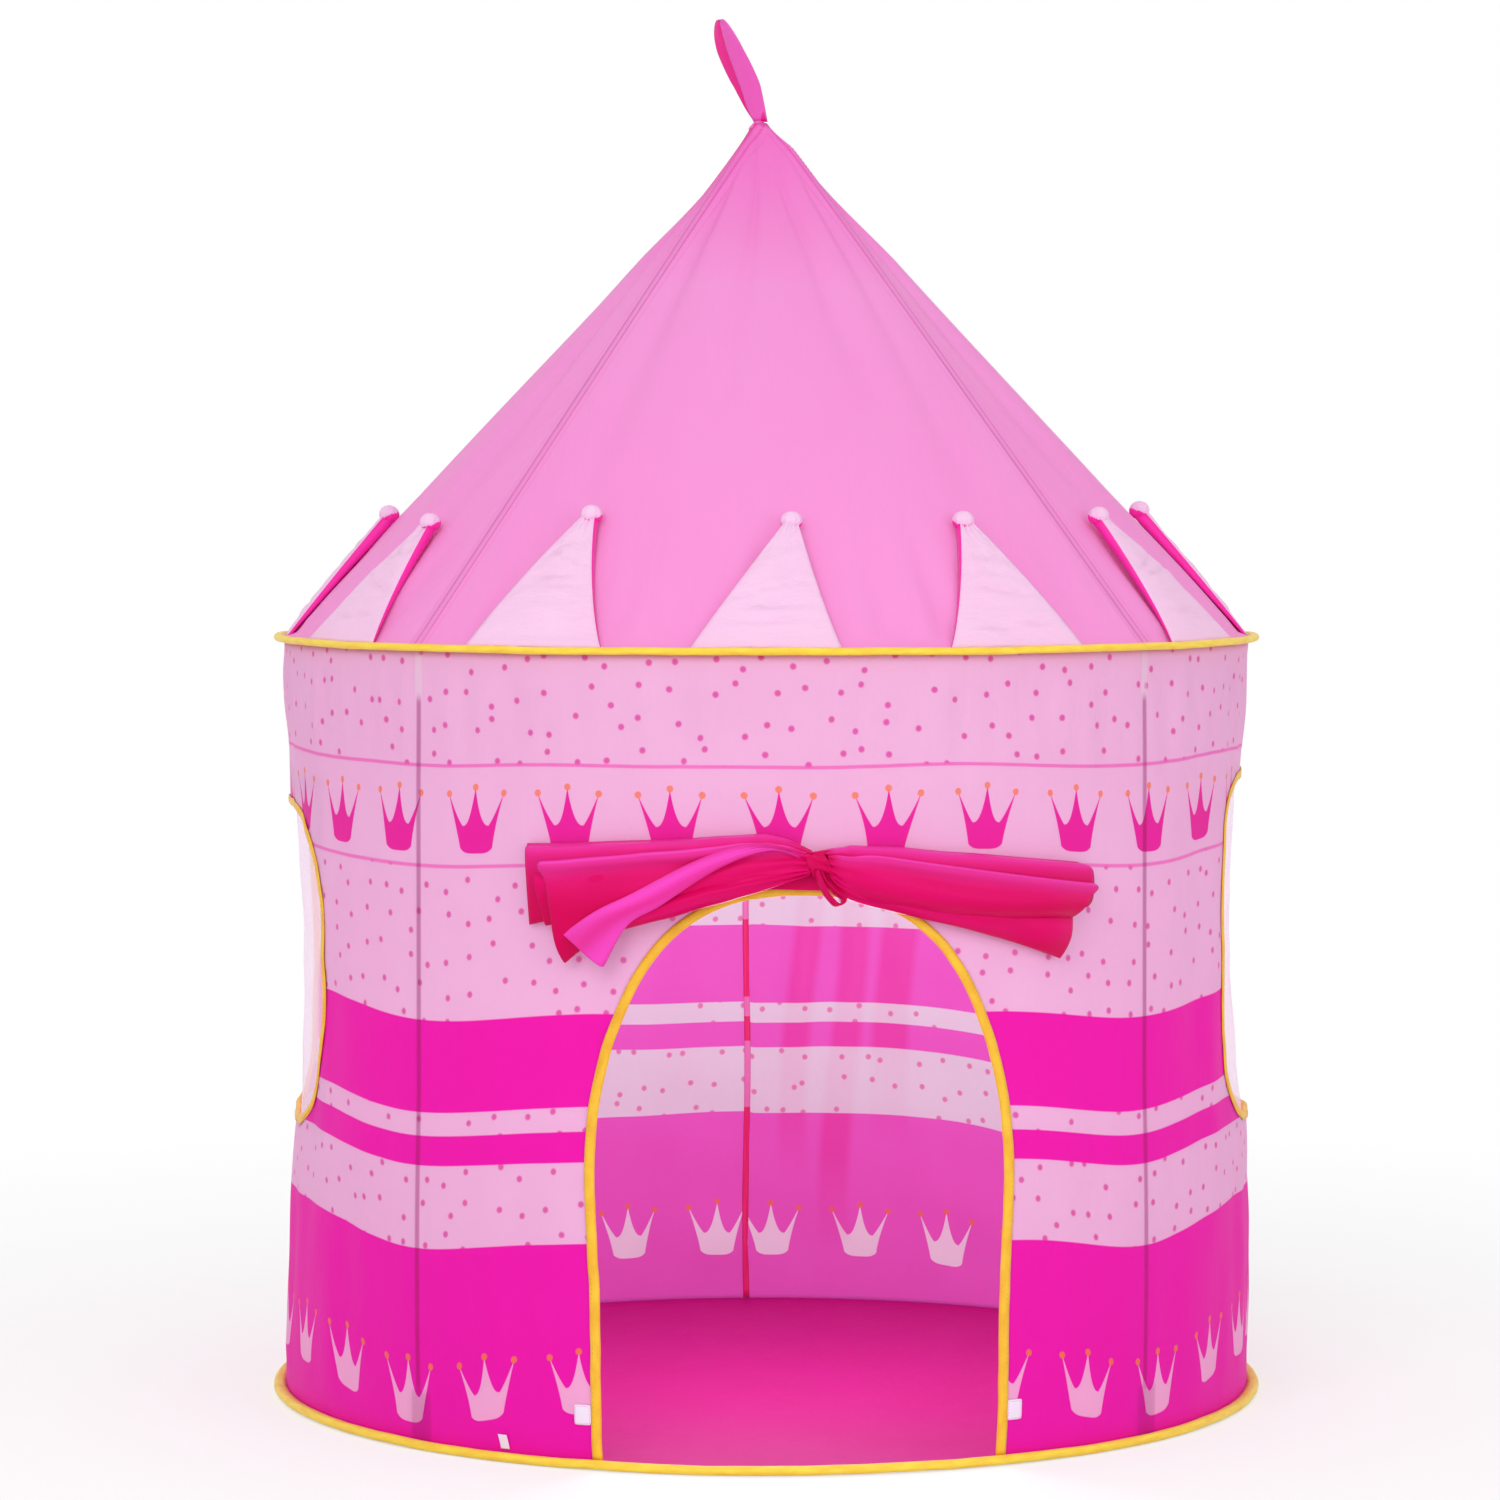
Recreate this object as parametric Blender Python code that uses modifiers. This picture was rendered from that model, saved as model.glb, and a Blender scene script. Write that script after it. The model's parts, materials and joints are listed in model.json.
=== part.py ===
# Kids play tent: a round cloth cabin between two wire hoops, with an arched door, two netted
# windows, a cone roof on four rods, stuffed crown points round the eave and a rolled door curtain.
# Metres, +Z up. The origin is on the tent's axis at the ground, and the door faces -Y.
import math

import bmesh
import bpy
from mathutils import Vector

MM = 0.001
DEGREE = math.pi / 180

# Frame sizes
BASE_RING_RADIUS = 525 * MM  # outside of the base binding
EAVE_RING_RADIUS = 521.5 * MM  # outside of the eave binding
EAVE_HEIGHT = 796 * MM  # middle of the eave binding
APEX_HEIGHT = 1338 * MM  # where the roof cloth meets its cap
HOOP_WIRE_RADIUS = 2 * MM
ROD_RADIUS = 2.5 * MM
ROD_COUNT = 4
ROD_AZIMUTH = 45 * DEGREE  # the first rod, from the door's middle

# Cloth sizes
CLOTH = 1.3 * MM
CLOTH_REACH_SHARE = 2 / 3  # from the cloth's middle to its face where two facets meet
TAPE = 1.2 * MM  # folded binding tape
NET = 0.8 * MM
GAP = 0.3 * MM
BASE_BINDING_WIDTH = 12.3 * MM
BASE_BINDING_HEIGHT = 12 * MM
EAVE_BINDING_WIDTH = 11 * MM
EAVE_BINDING_HEIGHT = 9.5 * MM
FLOOR_CLOTH = 1.5 * MM
RING_FACES = 60
HOOP_WIRE_FACES = 5
WALL_ROWS = 7
WALL_BULGE = 3 * MM  # outward, just over the base ring
WALL_WAIST = 6 * MM  # inward, midway between the rods
WALL_FOLD = 1.2 * MM
WALL_FOLDS = 12
BULGE_HEIGHT_SHARE = 0.45
SHARP_ANGLE = 35 * DEGREE
SEAM_WIDTH = 6.5 * MM
SEAM_MARGIN = 16 * MM

# Door and windows
DOOR_HALF_WIDTH = 203 * MM
DOOR_SHOULDER_HEIGHT = 250 * MM
DOOR_ARCH_RISE = 314 * MM
DOOR_FOOT_HALF_WIDTH = 193 * MM
DOOR_ROUNDNESS = 2.5
WINDOW_HALF_WIDTH = 170 * MM
WINDOW_HALF_HEIGHT = 178 * MM
WINDOW_HEIGHT = 476 * MM  # middle of each window
WINDOW_AZIMUTH = 85 * DEGREE
WINDOW_ROUNDNESS = 5
OPENING_POINTS = 22
EDGE_TAPE_WIDTH = 10 * MM
EDGE_TAPE_THICKNESS = 0.9 * MM
NET_MARGIN = 8 * MM
NET_SAG = 5 * MM
NET_COLUMNS = 8
NET_ROWS = 5
CUT_OVERRUN = 60 * MM

# Rod feet, elbows and roof rods
POCKET_HEIGHT = 55 * MM
POCKET_WIDTH = 26 * MM
POCKET_COLUMNS = 8
ROD_FOOT_PIVOT = 5.5 * MM  # height of the point that a wall rod leans about
ROD_FOOT_SETBACK = 2.2 * MM  # how much further from the wall a rod stands at its foot
ELBOW_RADIUS = 4.2 * MM
ELBOW_NECK_RADIUS = 3 * MM
ELBOW_LENGTH = 42 * MM
ELBOW_CLEARANCE = 4 * MM  # lets a wall rod leave its elbow
ELBOW_ARM_LENGTH = 12.6 * MM  # each way from the corner
ROD_FACES = 10
ROD_CHAMFER = 1.3 * MM  # lets a rod turn on its foot above the floor cloth
ROD_CHAMFER_ANGLE = 60 * DEGREE  # takes the rods' ends and not their sides
ROOF_ROD_CLEARANCE = 1 * MM
ROOF_ROD_PIVOT = 2.6 * MM  # from the roof rod's lower end
ROOF_ROD_TIP_RADIUS = 45 * MM  # from the tent's axis

# Roof
ROOF_TOP_RADIUS = 12 * MM
ROOF_ROWS = 8
ROOF_COLUMNS = 10
ROOF_SAG_LOW_SHARE = 0.02
ROOF_SAG_HIGH_SHARE = 0.13
CAP_RADIUS = 16 * MM
CAP_HEIGHT = 9 * MM
CAP_FACES = 16
LOOP_LENGTH = 104 * MM
LOOP_WIDTH = 27 * MM
LOOP_GAP = 24 * MM
LOOP_LEAN = 40 * MM
LOOP_LEAN_BEND = 1.3
LOOP_ROUNDNESS = 0.8
LOOP_TAPER_SHARE = 0.45
LOOP_COLUMNS = 2
LOOP_ROWS = 14

# Crown points
POINT_COUNT = 12
POINT_FIRST_AZIMUTH = -1.5 * DEGREE
POINT_WIDTH = 150 * MM
POINT_LENGTH = 158 * MM
POINT_TIP_WIDTH = 12 * MM
POINT_FOOT_DROP = 1.2 * MM  # takes the point's foot down to the eave binding
POINT_THICKNESS = 3 * MM
POINT_PUFF = 7 * MM
POINT_RIPPLE = 2 * MM
POINT_RIPPLES = 3
POINT_SKEW = 18 * MM
POINT_SKEW_SHARES = (0.7, -0.9, -1.5, -0.6, 0.8, -0.5, 1, 0.4, -0.8, 0.5, 0.1, 1.05)
POINT_KNOB_RADIUS = 11.5 * MM
POINT_COLUMNS = 4
POINT_ROWS = 5
POINT_TAPER_BEND = 0.9  # under 1, its sides bow in
POINT_SKEW_BEND = 1.5
POINT_SKEW_LIFT_SHARE = 0.04  # a point that leans far sideways stands further off the roof
POINT_SWELL_START_SHARE = 0.15

# Rolled door curtain
CURTAIN_SEAM_HEIGHT = 597 * MM
CURTAIN_HEADER_HEIGHT = 12 * MM
CURTAIN_HALF_WIDTH_AZIMUTH = 24 * DEGREE
CURTAIN_KNOT_AZIMUTH = 3 * DEGREE
CURTAIN_KNOT_HEIGHT = 588 * MM
CURTAIN_LEFT_AZIMUTH = -28 * DEGREE
CURTAIN_LEFT_HEIGHT = 570 * MM
CURTAIN_RIGHT_AZIMUTH = 33 * DEGREE
CURTAIN_RIGHT_HEIGHT = 552 * MM
CURTAIN_KNOT_RADIUS = 13 * MM
CURTAIN_END_RADIUS = 33 * MM
CURTAIN_DEPTH = 17 * MM
CURTAIN_FOLD = 3 * MM
CURTAIN_FOLDS = 5
CURTAIN_DROOP_BEND = 1.5
CURTAIN_ROLL_FACES = 20
CURTAIN_ROLL_RINGS = 8
CURTAIN_TIE_WIDTH = 16 * MM
CURTAIN_TIE_RADIUS = 17 * MM
CURTAIN_TIE_CROWN_SHARE = 0.25
CURTAIN_TIE_FACES = 12
CURTAIN_TIE_RINGS = 4
CURTAIN_TAIL_LENGTH = 42 * MM
CURTAIN_TAIL_WIDTH = 15 * MM

# Small sewn parts
PATCH_WIDTH = 17 * MM
PATCH_HEIGHT = 20 * MM
PATCH_MIDDLE_HEIGHT = 56 * MM
PATCH_EDGE_MARGIN = 5 * MM
TAG_WIDTH = 10 * MM
TAG_HEIGHT = 14 * MM
TAG_AZIMUTH = -31 * DEGREE
TAG_THICKNESS = 0.8 * MM
MERGE = 0.01 * MM

# Sizes that follow from those above
base_wall_radius = BASE_RING_RADIUS - BASE_BINDING_WIDTH - GAP - CLOTH * CLOTH_REACH_SHARE
eave_wall_radius = EAVE_RING_RADIUS - EAVE_BINDING_WIDTH - GAP - CLOTH * CLOTH_REACH_SHARE
wall_foot = FLOOR_CLOTH + GAP
wall_top = EAVE_HEIGHT
wall_cloth_top = wall_top - EAVE_BINDING_HEIGHT / 2
roof_foot = EAVE_HEIGHT + EAVE_BINDING_HEIGHT / 2 + CLOTH / 2
wall_column = 2 * math.pi / RING_FACES
facet_share = math.cos(wall_column / 2)
curtain_columns = 2 * round(CURTAIN_HALF_WIDTH_AZIMUTH / wall_column)
curtain_half_azimuth = curtain_columns / 2 * wall_column
curtain_seat = CLOTH / 2 + GAP + CLOTH + 3 * GAP  # from the wall, past the curtain cloth
rod_circle = (eave_wall_radius - CLOTH / 2) * facet_share - GAP - ELBOW_RADIUS
rod_foot_circle = (base_wall_radius - CLOTH / 2) * facet_share - GAP - ELBOW_RADIUS - ROD_FOOT_SETBACK
rod_slope = (rod_circle - rod_foot_circle) / wall_top
wall_spread = abs(base_wall_radius - eave_wall_radius)
roof_slope = Vector((ROOF_TOP_RADIUS - eave_wall_radius, 0, APEX_HEIGHT - roof_foot))
roof_along = roof_slope.normalized()
roof_outward = Vector((roof_along.z, 0, -roof_along.x))

materials = {}


def material(name, colour, roughness=0.8, metallic=0.0):
    made = bpy.data.materials.new(name)
    made.use_nodes = True
    shader = made.node_tree.nodes["Principled BSDF"]
    shader.inputs["Base Color"].default_value = (*colour, 1)
    shader.inputs["Roughness"].default_value = roughness
    shader.inputs["Metallic"].default_value = metallic
    made.diffuse_color = (*colour, 1)
    materials[name] = made


def clear_scene():
    for thing in list(bpy.data.objects):
        bpy.data.objects.remove(thing)
    for name in ("Play tent", "Cutters"):
        made = bpy.data.collections.new(name)
        bpy.context.scene.collection.children.link(made)


def polar(radius, azimuth, height):
    """A point at this distance from the axis, with azimuth 0 at the door and growing towards +X."""
    return Vector((radius * math.sin(azimuth), -radius * math.cos(azimuth), height))


def mix(a, b, share):
    return a + (b - a) * share


def add_object(name, mesh, colour):
    piece = bpy.data.objects.new(name, mesh)
    if colour:
        bpy.data.collections["Play tent"].objects.link(piece)
        if not mesh.materials:
            mesh.materials.append(materials[colour])
        mesh.shade_smooth()
        mesh.set_sharp_from_angle(angle=SHARP_ANGLE)
    else:
        bpy.data.collections["Cutters"].objects.link(piece)
        piece.hide_render = True
        piece.display_type = "WIRE"
    return piece


def finish_mesh(name, shape, colour, outward=True):
    bmesh.ops.remove_doubles(shape, verts=shape.verts, dist=MERGE)
    if outward:
        bmesh.ops.recalc_face_normals(shape, faces=shape.faces)
    mesh = bpy.data.meshes.new(name)
    shape.to_mesh(mesh)
    shape.free()
    return add_object(name, mesh, colour)


def unit_grid(columns, rows, place):
    """A grid whose points, 0 to 1 across and 0 to 1 up, are put where place says."""
    shape = bmesh.new()
    bmesh.ops.create_grid(shape, x_segments=columns, y_segments=rows, size=1)
    for vertex in shape.verts:
        across, up = (vertex.co.x + 1) / 2, (vertex.co.y + 1) / 2
        vertex.co = place(across, up)
    return shape


def sheet(name, columns, rows, place, thickness, colour):
    """Cloth: an open grid along its middle surface, made thick on both sides alike."""
    piece = finish_mesh(name, unit_grid(columns, rows, place), colour, outward=False)
    thick = piece.modifiers.new("Thickness", "SOLIDIFY")
    thick.thickness = thickness
    thick.offset = 0
    thick.use_even_offset = True
    return piece


def bundle(name, around, along, place, colour):
    """A closed form: a grid rolled up round its own length, with both ends filled."""
    shape = unit_grid(around, along, place)
    bmesh.ops.remove_doubles(shape, verts=shape.verts, dist=MERGE)
    bmesh.ops.holes_fill(shape, edges=shape.edges, sides=0)
    return finish_mesh(name, shape, colour)


def turned(name, profile, colour, faces=RING_FACES, closed=True):
    """A profile turned about the axis. It runs down its outer side."""
    shape = bmesh.new()
    corners = [shape.verts.new((radius, 0, height)) for radius, height in profile]
    following = corners[1:] + corners[:1] if closed else corners[1:]
    for first, second in zip(corners, following):
        shape.edges.new((first, second))
    mesh = bpy.data.meshes.new(name)
    shape.to_mesh(mesh)
    shape.free()
    screw = add_object(name, mesh, colour).modifiers.new("Turn", "SCREW")
    screw.steps = screw.render_steps = faces
    screw.use_merge_vertices = True
    screw.merge_threshold = MERGE


def boolean(piece, operation, cutter):
    cut = piece.modifiers.new(operation.title(), "BOOLEAN")
    cut.operation = operation
    cut.object = cutter
    cut.solver = "EXACT"


def plain_mesh(piece):
    """The piece's evaluated mesh, in place of the piece's own mesh and modifiers."""
    graph = bpy.context.evaluated_depsgraph_get()
    mesh = bpy.data.meshes.new_from_object(piece.evaluated_get(graph))
    piece.modifiers.clear()
    piece.data = mesh
    return piece


def prism(name, outline, azimuth):
    """A cutter of this outline, (across, height), through the wall at this azimuth."""
    curve = bpy.data.curves.new(name, "CURVE")
    curve.dimensions = "2D"
    curve.fill_mode = "BOTH"
    curve.extrude = CUT_OVERRUN + wall_spread / 2
    spline = curve.splines.new("POLY")
    spline.points.add(len(outline) - 1)
    for point, (across, height) in zip(spline.points, outline):
        point.co = (across, height, 0, 1)
    spline.use_cyclic_u = True
    flat = bpy.data.objects.new(name, curve)
    bpy.data.collections["Cutters"].objects.link(flat)
    flat.location = polar(mix(base_wall_radius, eave_wall_radius, 1 / 2), azimuth, 0)
    flat.rotation_euler = (math.pi / 2, 0, azimuth)
    bpy.context.view_layer.update()
    shape = bmesh.new()
    shape.from_mesh(bpy.data.meshes.new_from_object(flat))
    shape.transform(flat.matrix_world)
    bpy.data.objects.remove(flat)
    return finish_mesh(name, shape, None)


def round_outline(half_width, half_height, roundness, first, last):
    """Points on a superellipse between two angles."""
    points = []
    for step in range(OPENING_POINTS + 1):
        angle = mix(first, last, step / OPENING_POINTS)
        across, up = math.cos(angle), math.sin(angle)
        points.append(
            (
                half_width * math.copysign(abs(across) ** (2 / roundness), across),
                half_height * math.copysign(abs(up) ** (2 / roundness), up),
            )
        )
    return points


def door_outline(grow, foot):
    arch = round_outline(DOOR_HALF_WIDTH + grow, DOOR_ARCH_RISE + grow, DOOR_ROUNDNESS, 0, math.pi)
    raised = [(across, up + DOOR_SHOULDER_HEIGHT) for across, up in arch]
    foot_half = DOOR_FOOT_HALF_WIDTH + grow
    return [*raised, (-foot_half, foot), (foot_half, foot)]


def window_outline(grow, _foot):
    loop = round_outline(
        WINDOW_HALF_WIDTH + grow, WINDOW_HALF_HEIGHT + grow, WINDOW_ROUNDNESS, 0, 2 * math.pi
    )
    return [(across, up + WINDOW_HEIGHT) for across, up in loop[:-1]]


def between_rods(azimuth):
    """1 midway between two rods and 0 at a rod."""
    return math.cos(ROD_COUNT / 2 * (azimuth - ROD_AZIMUTH) + math.pi / 2) ** 2


def wall_form(azimuth, height):
    """The smooth form that the wall's facets follow, as a distance from the axis."""
    share = (height - wall_foot) / (wall_top - wall_foot)
    ring = mix(base_wall_radius, eave_wall_radius, share)
    bulge = WALL_BULGE * math.sin(math.pi * min(share / BULGE_HEIGHT_SHARE, 1))
    waist = WALL_WAIST * math.sin(math.pi * share) ** 2 * between_rods(azimuth)
    fold = WALL_FOLD * math.cos(WALL_FOLDS * azimuth) * math.sin(math.pi * share)
    return ring + bulge - waist + fold * between_rods(azimuth)


def wall_radius(azimuth, height):
    """Distance from the axis to the wall's faceted middle surface."""
    row = (wall_cloth_top - wall_foot) / WALL_ROWS
    turn = azimuth % wall_column
    low = wall_foot + row * min(max(math.floor((height - wall_foot) / row), 0), WALL_ROWS - 1)

    def chord(at):
        first = wall_form(azimuth - turn, at)
        second = wall_form(azimuth - turn + wall_column, at)
        spread = first * math.sin(turn) + second * math.sin(wall_column - turn)
        return first * second * math.sin(wall_column) / spread

    return mix(chord(low), chord(low + row), (height - low) / row)


def wall_patch(name, thickness, first, last, colour):
    """A stretch of the wall between two azimuths that lie on its columns."""
    columns = round((last - first) / wall_column)

    def place(across, up):
        azimuth = mix(first, last, across)
        height = mix(wall_foot, wall_cloth_top, up)
        return polar(wall_form(azimuth, height), azimuth, height)

    return sheet(name, columns, WALL_ROWS, place, thickness, colour)


def openings():
    """(name, outline function, azimuth) of the door and of each window."""
    return (
        ("door", door_outline, 0),
        ("left_window", window_outline, -WINDOW_AZIMUTH),
        ("right_window", window_outline, WINDOW_AZIMUTH),
    )


def build_wall():
    wall = wall_patch("wall_cloth", CLOTH, -math.pi, math.pi, "print")
    for name, outline, azimuth in openings():
        boolean(wall, "DIFFERENCE", prism(f"{name}_cut", outline(0, -CUT_OVERRUN), azimuth))


def build_edge_tapes():
    """Bias tape folded over the cut edge of the door and of each window."""
    foot = BASE_BINDING_HEIGHT + GAP
    widest = max(DOOR_HALF_WIDTH, WINDOW_HALF_WIDTH) + EDGE_TAPE_WIDTH
    reach = wall_column * math.ceil(1 + widest / rod_circle / wall_column)
    for name, outline, azimuth in openings():
        middle = round(azimuth / wall_column) * wall_column
        first, last = middle - reach, middle + reach
        over = CLOTH + 2 * GAP
        tape = wall_patch(
            f"{name}_binding", over + 2 * EDGE_TAPE_THICKNESS, first, last, "tape"
        )
        outside = prism(f"{name}_tape_outside", outline(EDGE_TAPE_WIDTH, foot), azimuth)
        boolean(tape, "INTERSECT", outside)
        inside = prism(
            f"{name}_tape_inside", outline(-GAP - EDGE_TAPE_THICKNESS, -CUT_OVERRUN), azimuth
        )
        boolean(tape, "DIFFERENCE", inside)
        room = wall_patch(f"{name}_tape_room", over, first, last, None)
        edge = prism(f"{name}_edge_room", outline(-GAP, -CUT_OVERRUN), azimuth)
        boolean(room, "DIFFERENCE", edge)
        boolean(tape, "DIFFERENCE", room)


def build_nets():
    inward = CLOTH / 2 + 2 * GAP + EDGE_TAPE_THICKNESS + NET
    for side, azimuth in (("left", -WINDOW_AZIMUTH), ("right", WINDOW_AZIMUTH)):

        def place(across, up, middle=azimuth):
            half_angle = (WINDOW_HALF_WIDTH + NET_MARGIN) / eave_wall_radius
            turned_to = middle + mix(-half_angle, half_angle, across)
            reach = WINDOW_HALF_HEIGHT + NET_MARGIN
            height = WINDOW_HEIGHT + mix(-reach, reach, up)
            sag = NET_SAG * math.sin(math.pi * across) * math.sin(math.pi * up)
            return polar(wall_radius(turned_to, height) - inward - sag, turned_to, height)

        sheet(f"{side}_window_net", NET_COLUMNS, NET_ROWS, place, NET, "net")


def build_floor_and_rings():
    bpy.ops.mesh.primitive_cylinder_add(
        vertices=RING_FACES,
        radius=base_wall_radius + CLOTH / 2,
        depth=FLOOR_CLOTH,
        location=(0, 0, FLOOR_CLOTH / 2),
    )
    adopt("floor_cloth", "floor")
    rings = (
        ("base", BASE_RING_RADIUS, BASE_BINDING_WIDTH, BASE_BINDING_HEIGHT, BASE_BINDING_HEIGHT / 2),
        ("eave", EAVE_RING_RADIUS, EAVE_BINDING_WIDTH, EAVE_BINDING_HEIGHT, EAVE_HEIGHT),
    )
    for name, radius, width, height, middle in rings:
        top, foot, inner = middle + height / 2, middle - height / 2, radius - width
        profile = (
            (radius, top - TAPE),
            (radius, foot + TAPE),
            (radius - TAPE, foot),
            (inner, foot),
            (inner, foot + TAPE),
            (radius - TAPE, foot + TAPE),
            (radius - TAPE, top - TAPE),
            (inner, top - TAPE),
            (inner, top),
            (radius - TAPE, top),
        )
        turned(f"{name}_binding", profile, "tape")
        bpy.ops.mesh.primitive_torus_add(
            major_segments=RING_FACES,
            minor_segments=HOOP_WIRE_FACES,
            major_radius=radius - TAPE - GAP - HOOP_WIRE_RADIUS,
            minor_radius=HOOP_WIRE_RADIUS,
            location=(0, 0, middle),
        )
        adopt(f"{name}_hoop", "wire")


def adopt(name, colour):
    """Takes the primitive that was just added as a piece of the tent."""
    piece = bpy.context.object
    piece.name = piece.data.name = name
    for collection in list(piece.users_collection):
        collection.objects.unlink(piece)
    bpy.data.collections["Play tent"].objects.link(piece)
    piece.data.materials.append(materials[colour])
    piece.data.shade_smooth()
    piece.data.set_sharp_from_angle(angle=SHARP_ANGLE)
    return piece


def rod_line(height):
    """How far from the tent's axis the wall rods stand at this height."""
    return rod_foot_circle + rod_slope * height


def build_sewn_parts():
    inner = CLOTH / 2 + 2 * GAP

    def seam(across, up):
        height = mix(SEAM_MARGIN, wall_top - SEAM_MARGIN, up)
        turn = math.pi + mix(-SEAM_WIDTH, SEAM_WIDTH, across) / 2 / eave_wall_radius
        return polar(wall_radius(turn, height) - inner - CLOTH / 2, turn, height)

    sheet("wall_rear_seam", 2, WALL_ROWS, seam, CLOTH, "floor")

    for number in range(ROD_COUNT):
        rod = ROD_AZIMUTH + number * 2 * math.pi / ROD_COUNT

        def pocket(across, up, rod=rod):
            height = mix(wall_foot, wall_foot + POCKET_HEIGHT, up)
            turn = rod + mix(-POCKET_WIDTH, POCKET_WIDTH, across) / 2 / rod_foot_circle
            edge = wall_radius(turn, height) - inner - CLOTH
            nearest = rod_line(height) - ROD_RADIUS - GAP - CLOTH
            return polar(mix(edge, nearest, math.sin(math.pi * across) ** 2), turn, height)

        sheet(f"rod_pocket_{number + 1}", POCKET_COLUMNS, 1, pocket, CLOTH, "tape_pale")

    door_edge = DOOR_HALF_WIDTH + EDGE_TAPE_WIDTH + PATCH_EDGE_MARGIN + PATCH_WIDTH / 2
    for side, sign in (("left", -1), ("right", 1)):

        def patch(across, up, sign=sign):
            turn = sign * math.asin(door_edge / base_wall_radius)
            turn += mix(-PATCH_WIDTH, PATCH_WIDTH, across) / 2 / base_wall_radius
            height = PATCH_MIDDLE_HEIGHT + mix(-PATCH_HEIGHT, PATCH_HEIGHT, up) / 2
            return polar(wall_radius(turn, height) + CLOTH / 2 + inner, turn, height)

        sheet(f"{side}_door_patch", 2, 1, patch, CLOTH, "net")

    def tag(across, up):
        turn = TAG_AZIMUTH + mix(-TAG_WIDTH, TAG_WIDTH, across) / 2 / BASE_RING_RADIUS
        height = BASE_BINDING_HEIGHT + GAP + TAG_HEIGHT * up
        return polar(wall_radius(turn, height) + inner + TAG_THICKNESS / 2, turn, height)

    sheet("blank_tag", 2, 1, tag, TAG_THICKNESS, "net")


def roof_sag(azimuth, share):
    """How much nearer the axis than the rods the roof cloth lies, as a share of its radius."""
    low_to_high = mix(ROOF_SAG_LOW_SHARE, ROOF_SAG_HIGH_SHARE, share**2)
    return low_to_high * between_rods(azimuth)


def roof_point(azimuth, share, lift=0.0):
    """A point on the roof cloth, 0 at the eave and 1 at the top, raised along the cone's normal."""
    radius = mix(eave_wall_radius, ROOF_TOP_RADIUS, share) * (1 - roof_sag(azimuth, share))
    height = mix(roof_foot, APEX_HEIGHT, share)
    return polar(radius + roof_outward.x * lift, azimuth, height + roof_outward.z * lift)


def build_roof():
    for number in range(ROD_COUNT):
        middle = number * 2 * math.pi / ROD_COUNT

        def place(across, up, middle=middle):
            radius = mix(eave_wall_radius, ROOF_TOP_RADIUS, up)
            half_angle = math.pi / ROD_COUNT - GAP / radius
            return roof_point(middle + mix(-half_angle, half_angle, across), up)

        sheet(f"roof_panel_{number + 1}", ROOF_COLUMNS, ROOF_ROWS, place, CLOTH, "roof")


def build_cap():
    """A sewn cap that closes the roof's top. Its stem goes down between the four panels."""
    foot = APEX_HEIGHT + CLOTH
    profile = (
        (0, foot + CAP_HEIGHT),
        (CAP_RADIUS / 2, foot + CAP_HEIGHT),
        (CAP_RADIUS, foot + CAP_HEIGHT / 3),
        (CAP_RADIUS, foot),
        (ROOF_TOP_RADIUS / 2, foot),
        (ROOF_TOP_RADIUS / 2, foot - CAP_HEIGHT),
        (0, foot - CAP_HEIGHT),
    )
    turned("apex_cap", profile, "satin", CAP_FACES, closed=False)


def build_loop():
    """A ribbon that goes up from the cap, turns over and comes back down beside itself."""
    foot = APEX_HEIGHT + CLOTH + CAP_HEIGHT + GAP

    def place(across, up):
        turn = 2 * math.pi * up
        rise_share = math.sin(turn / 2) ** LOOP_ROUNDNESS if 0 < up < 1 else 0
        lean = LOOP_LEAN * rise_share**LOOP_LEAN_BEND
        width = LOOP_WIDTH * (1 - LOOP_TAPER_SHARE * rise_share**3)
        apart = LOOP_GAP / 2 * math.sin(turn) * math.sin(turn / 2) + mix(TAPE, -TAPE, up)
        return Vector(
            (mix(-width, width, across) / 2 - lean, apart, foot + LOOP_LENGTH * rise_share)
        )

    sheet("top_loop", LOOP_COLUMNS, LOOP_ROWS, place, TAPE, "satin")


def build_rods():
    for number in range(ROD_COUNT):
        azimuth = ROD_AZIMUTH + number * 2 * math.pi / ROD_COUNT
        foot = wall_foot - ROD_FOOT_PIVOT
        top = wall_top - EAVE_BINDING_HEIGHT / 2 - ELBOW_LENGTH - ELBOW_CLEARANCE
        pivot = polar(rod_line(ROD_FOOT_PIVOT), azimuth, ROD_FOOT_PIVOT)
        up = polar(rod_line(top), azimuth, top) - pivot
        add_rod(f"wall_rod_{number + 1}", pivot, up, foot, up.length)
        along = polar(roof_along.x, azimuth, roof_along.z)
        start, pivot, end = roof_rod_stations(azimuth)
        add_rod(
            f"roof_rod_{number + 1}", pivot, along, -ROOF_ROD_PIVOT, (end - pivot).length
        )
        add_elbow(f"eave_elbow_{number + 1}", azimuth, top + ELBOW_CLEARANCE, start, along)


def roof_rod_stations(azimuth):
    """The ends of the line under the roof cloth that the elbow's neck and the roof rod share."""
    inward = CLOTH / 2 + GAP + ELBOW_NECK_RADIUS
    low = polar(
        eave_wall_radius - roof_outward.x * inward, azimuth, roof_foot - roof_outward.z * inward
    )
    along = polar(roof_along.x, azimuth, roof_along.z)
    corner = rod_line(low.z) - Vector((low.x, low.y)).length
    corner /= roof_along.x - rod_slope * roof_along.z
    elbow_end = low + along * (corner + ELBOW_ARM_LENGTH)
    pivot = elbow_end + along * (ROOF_ROD_CLEARANCE + ROOF_ROD_PIVOT)
    to_tip = (ROOF_ROD_TIP_RADIUS - Vector((pivot.x, pivot.y)).length) / roof_along.x
    return low + along * corner, pivot, pivot + along * to_tip


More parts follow.
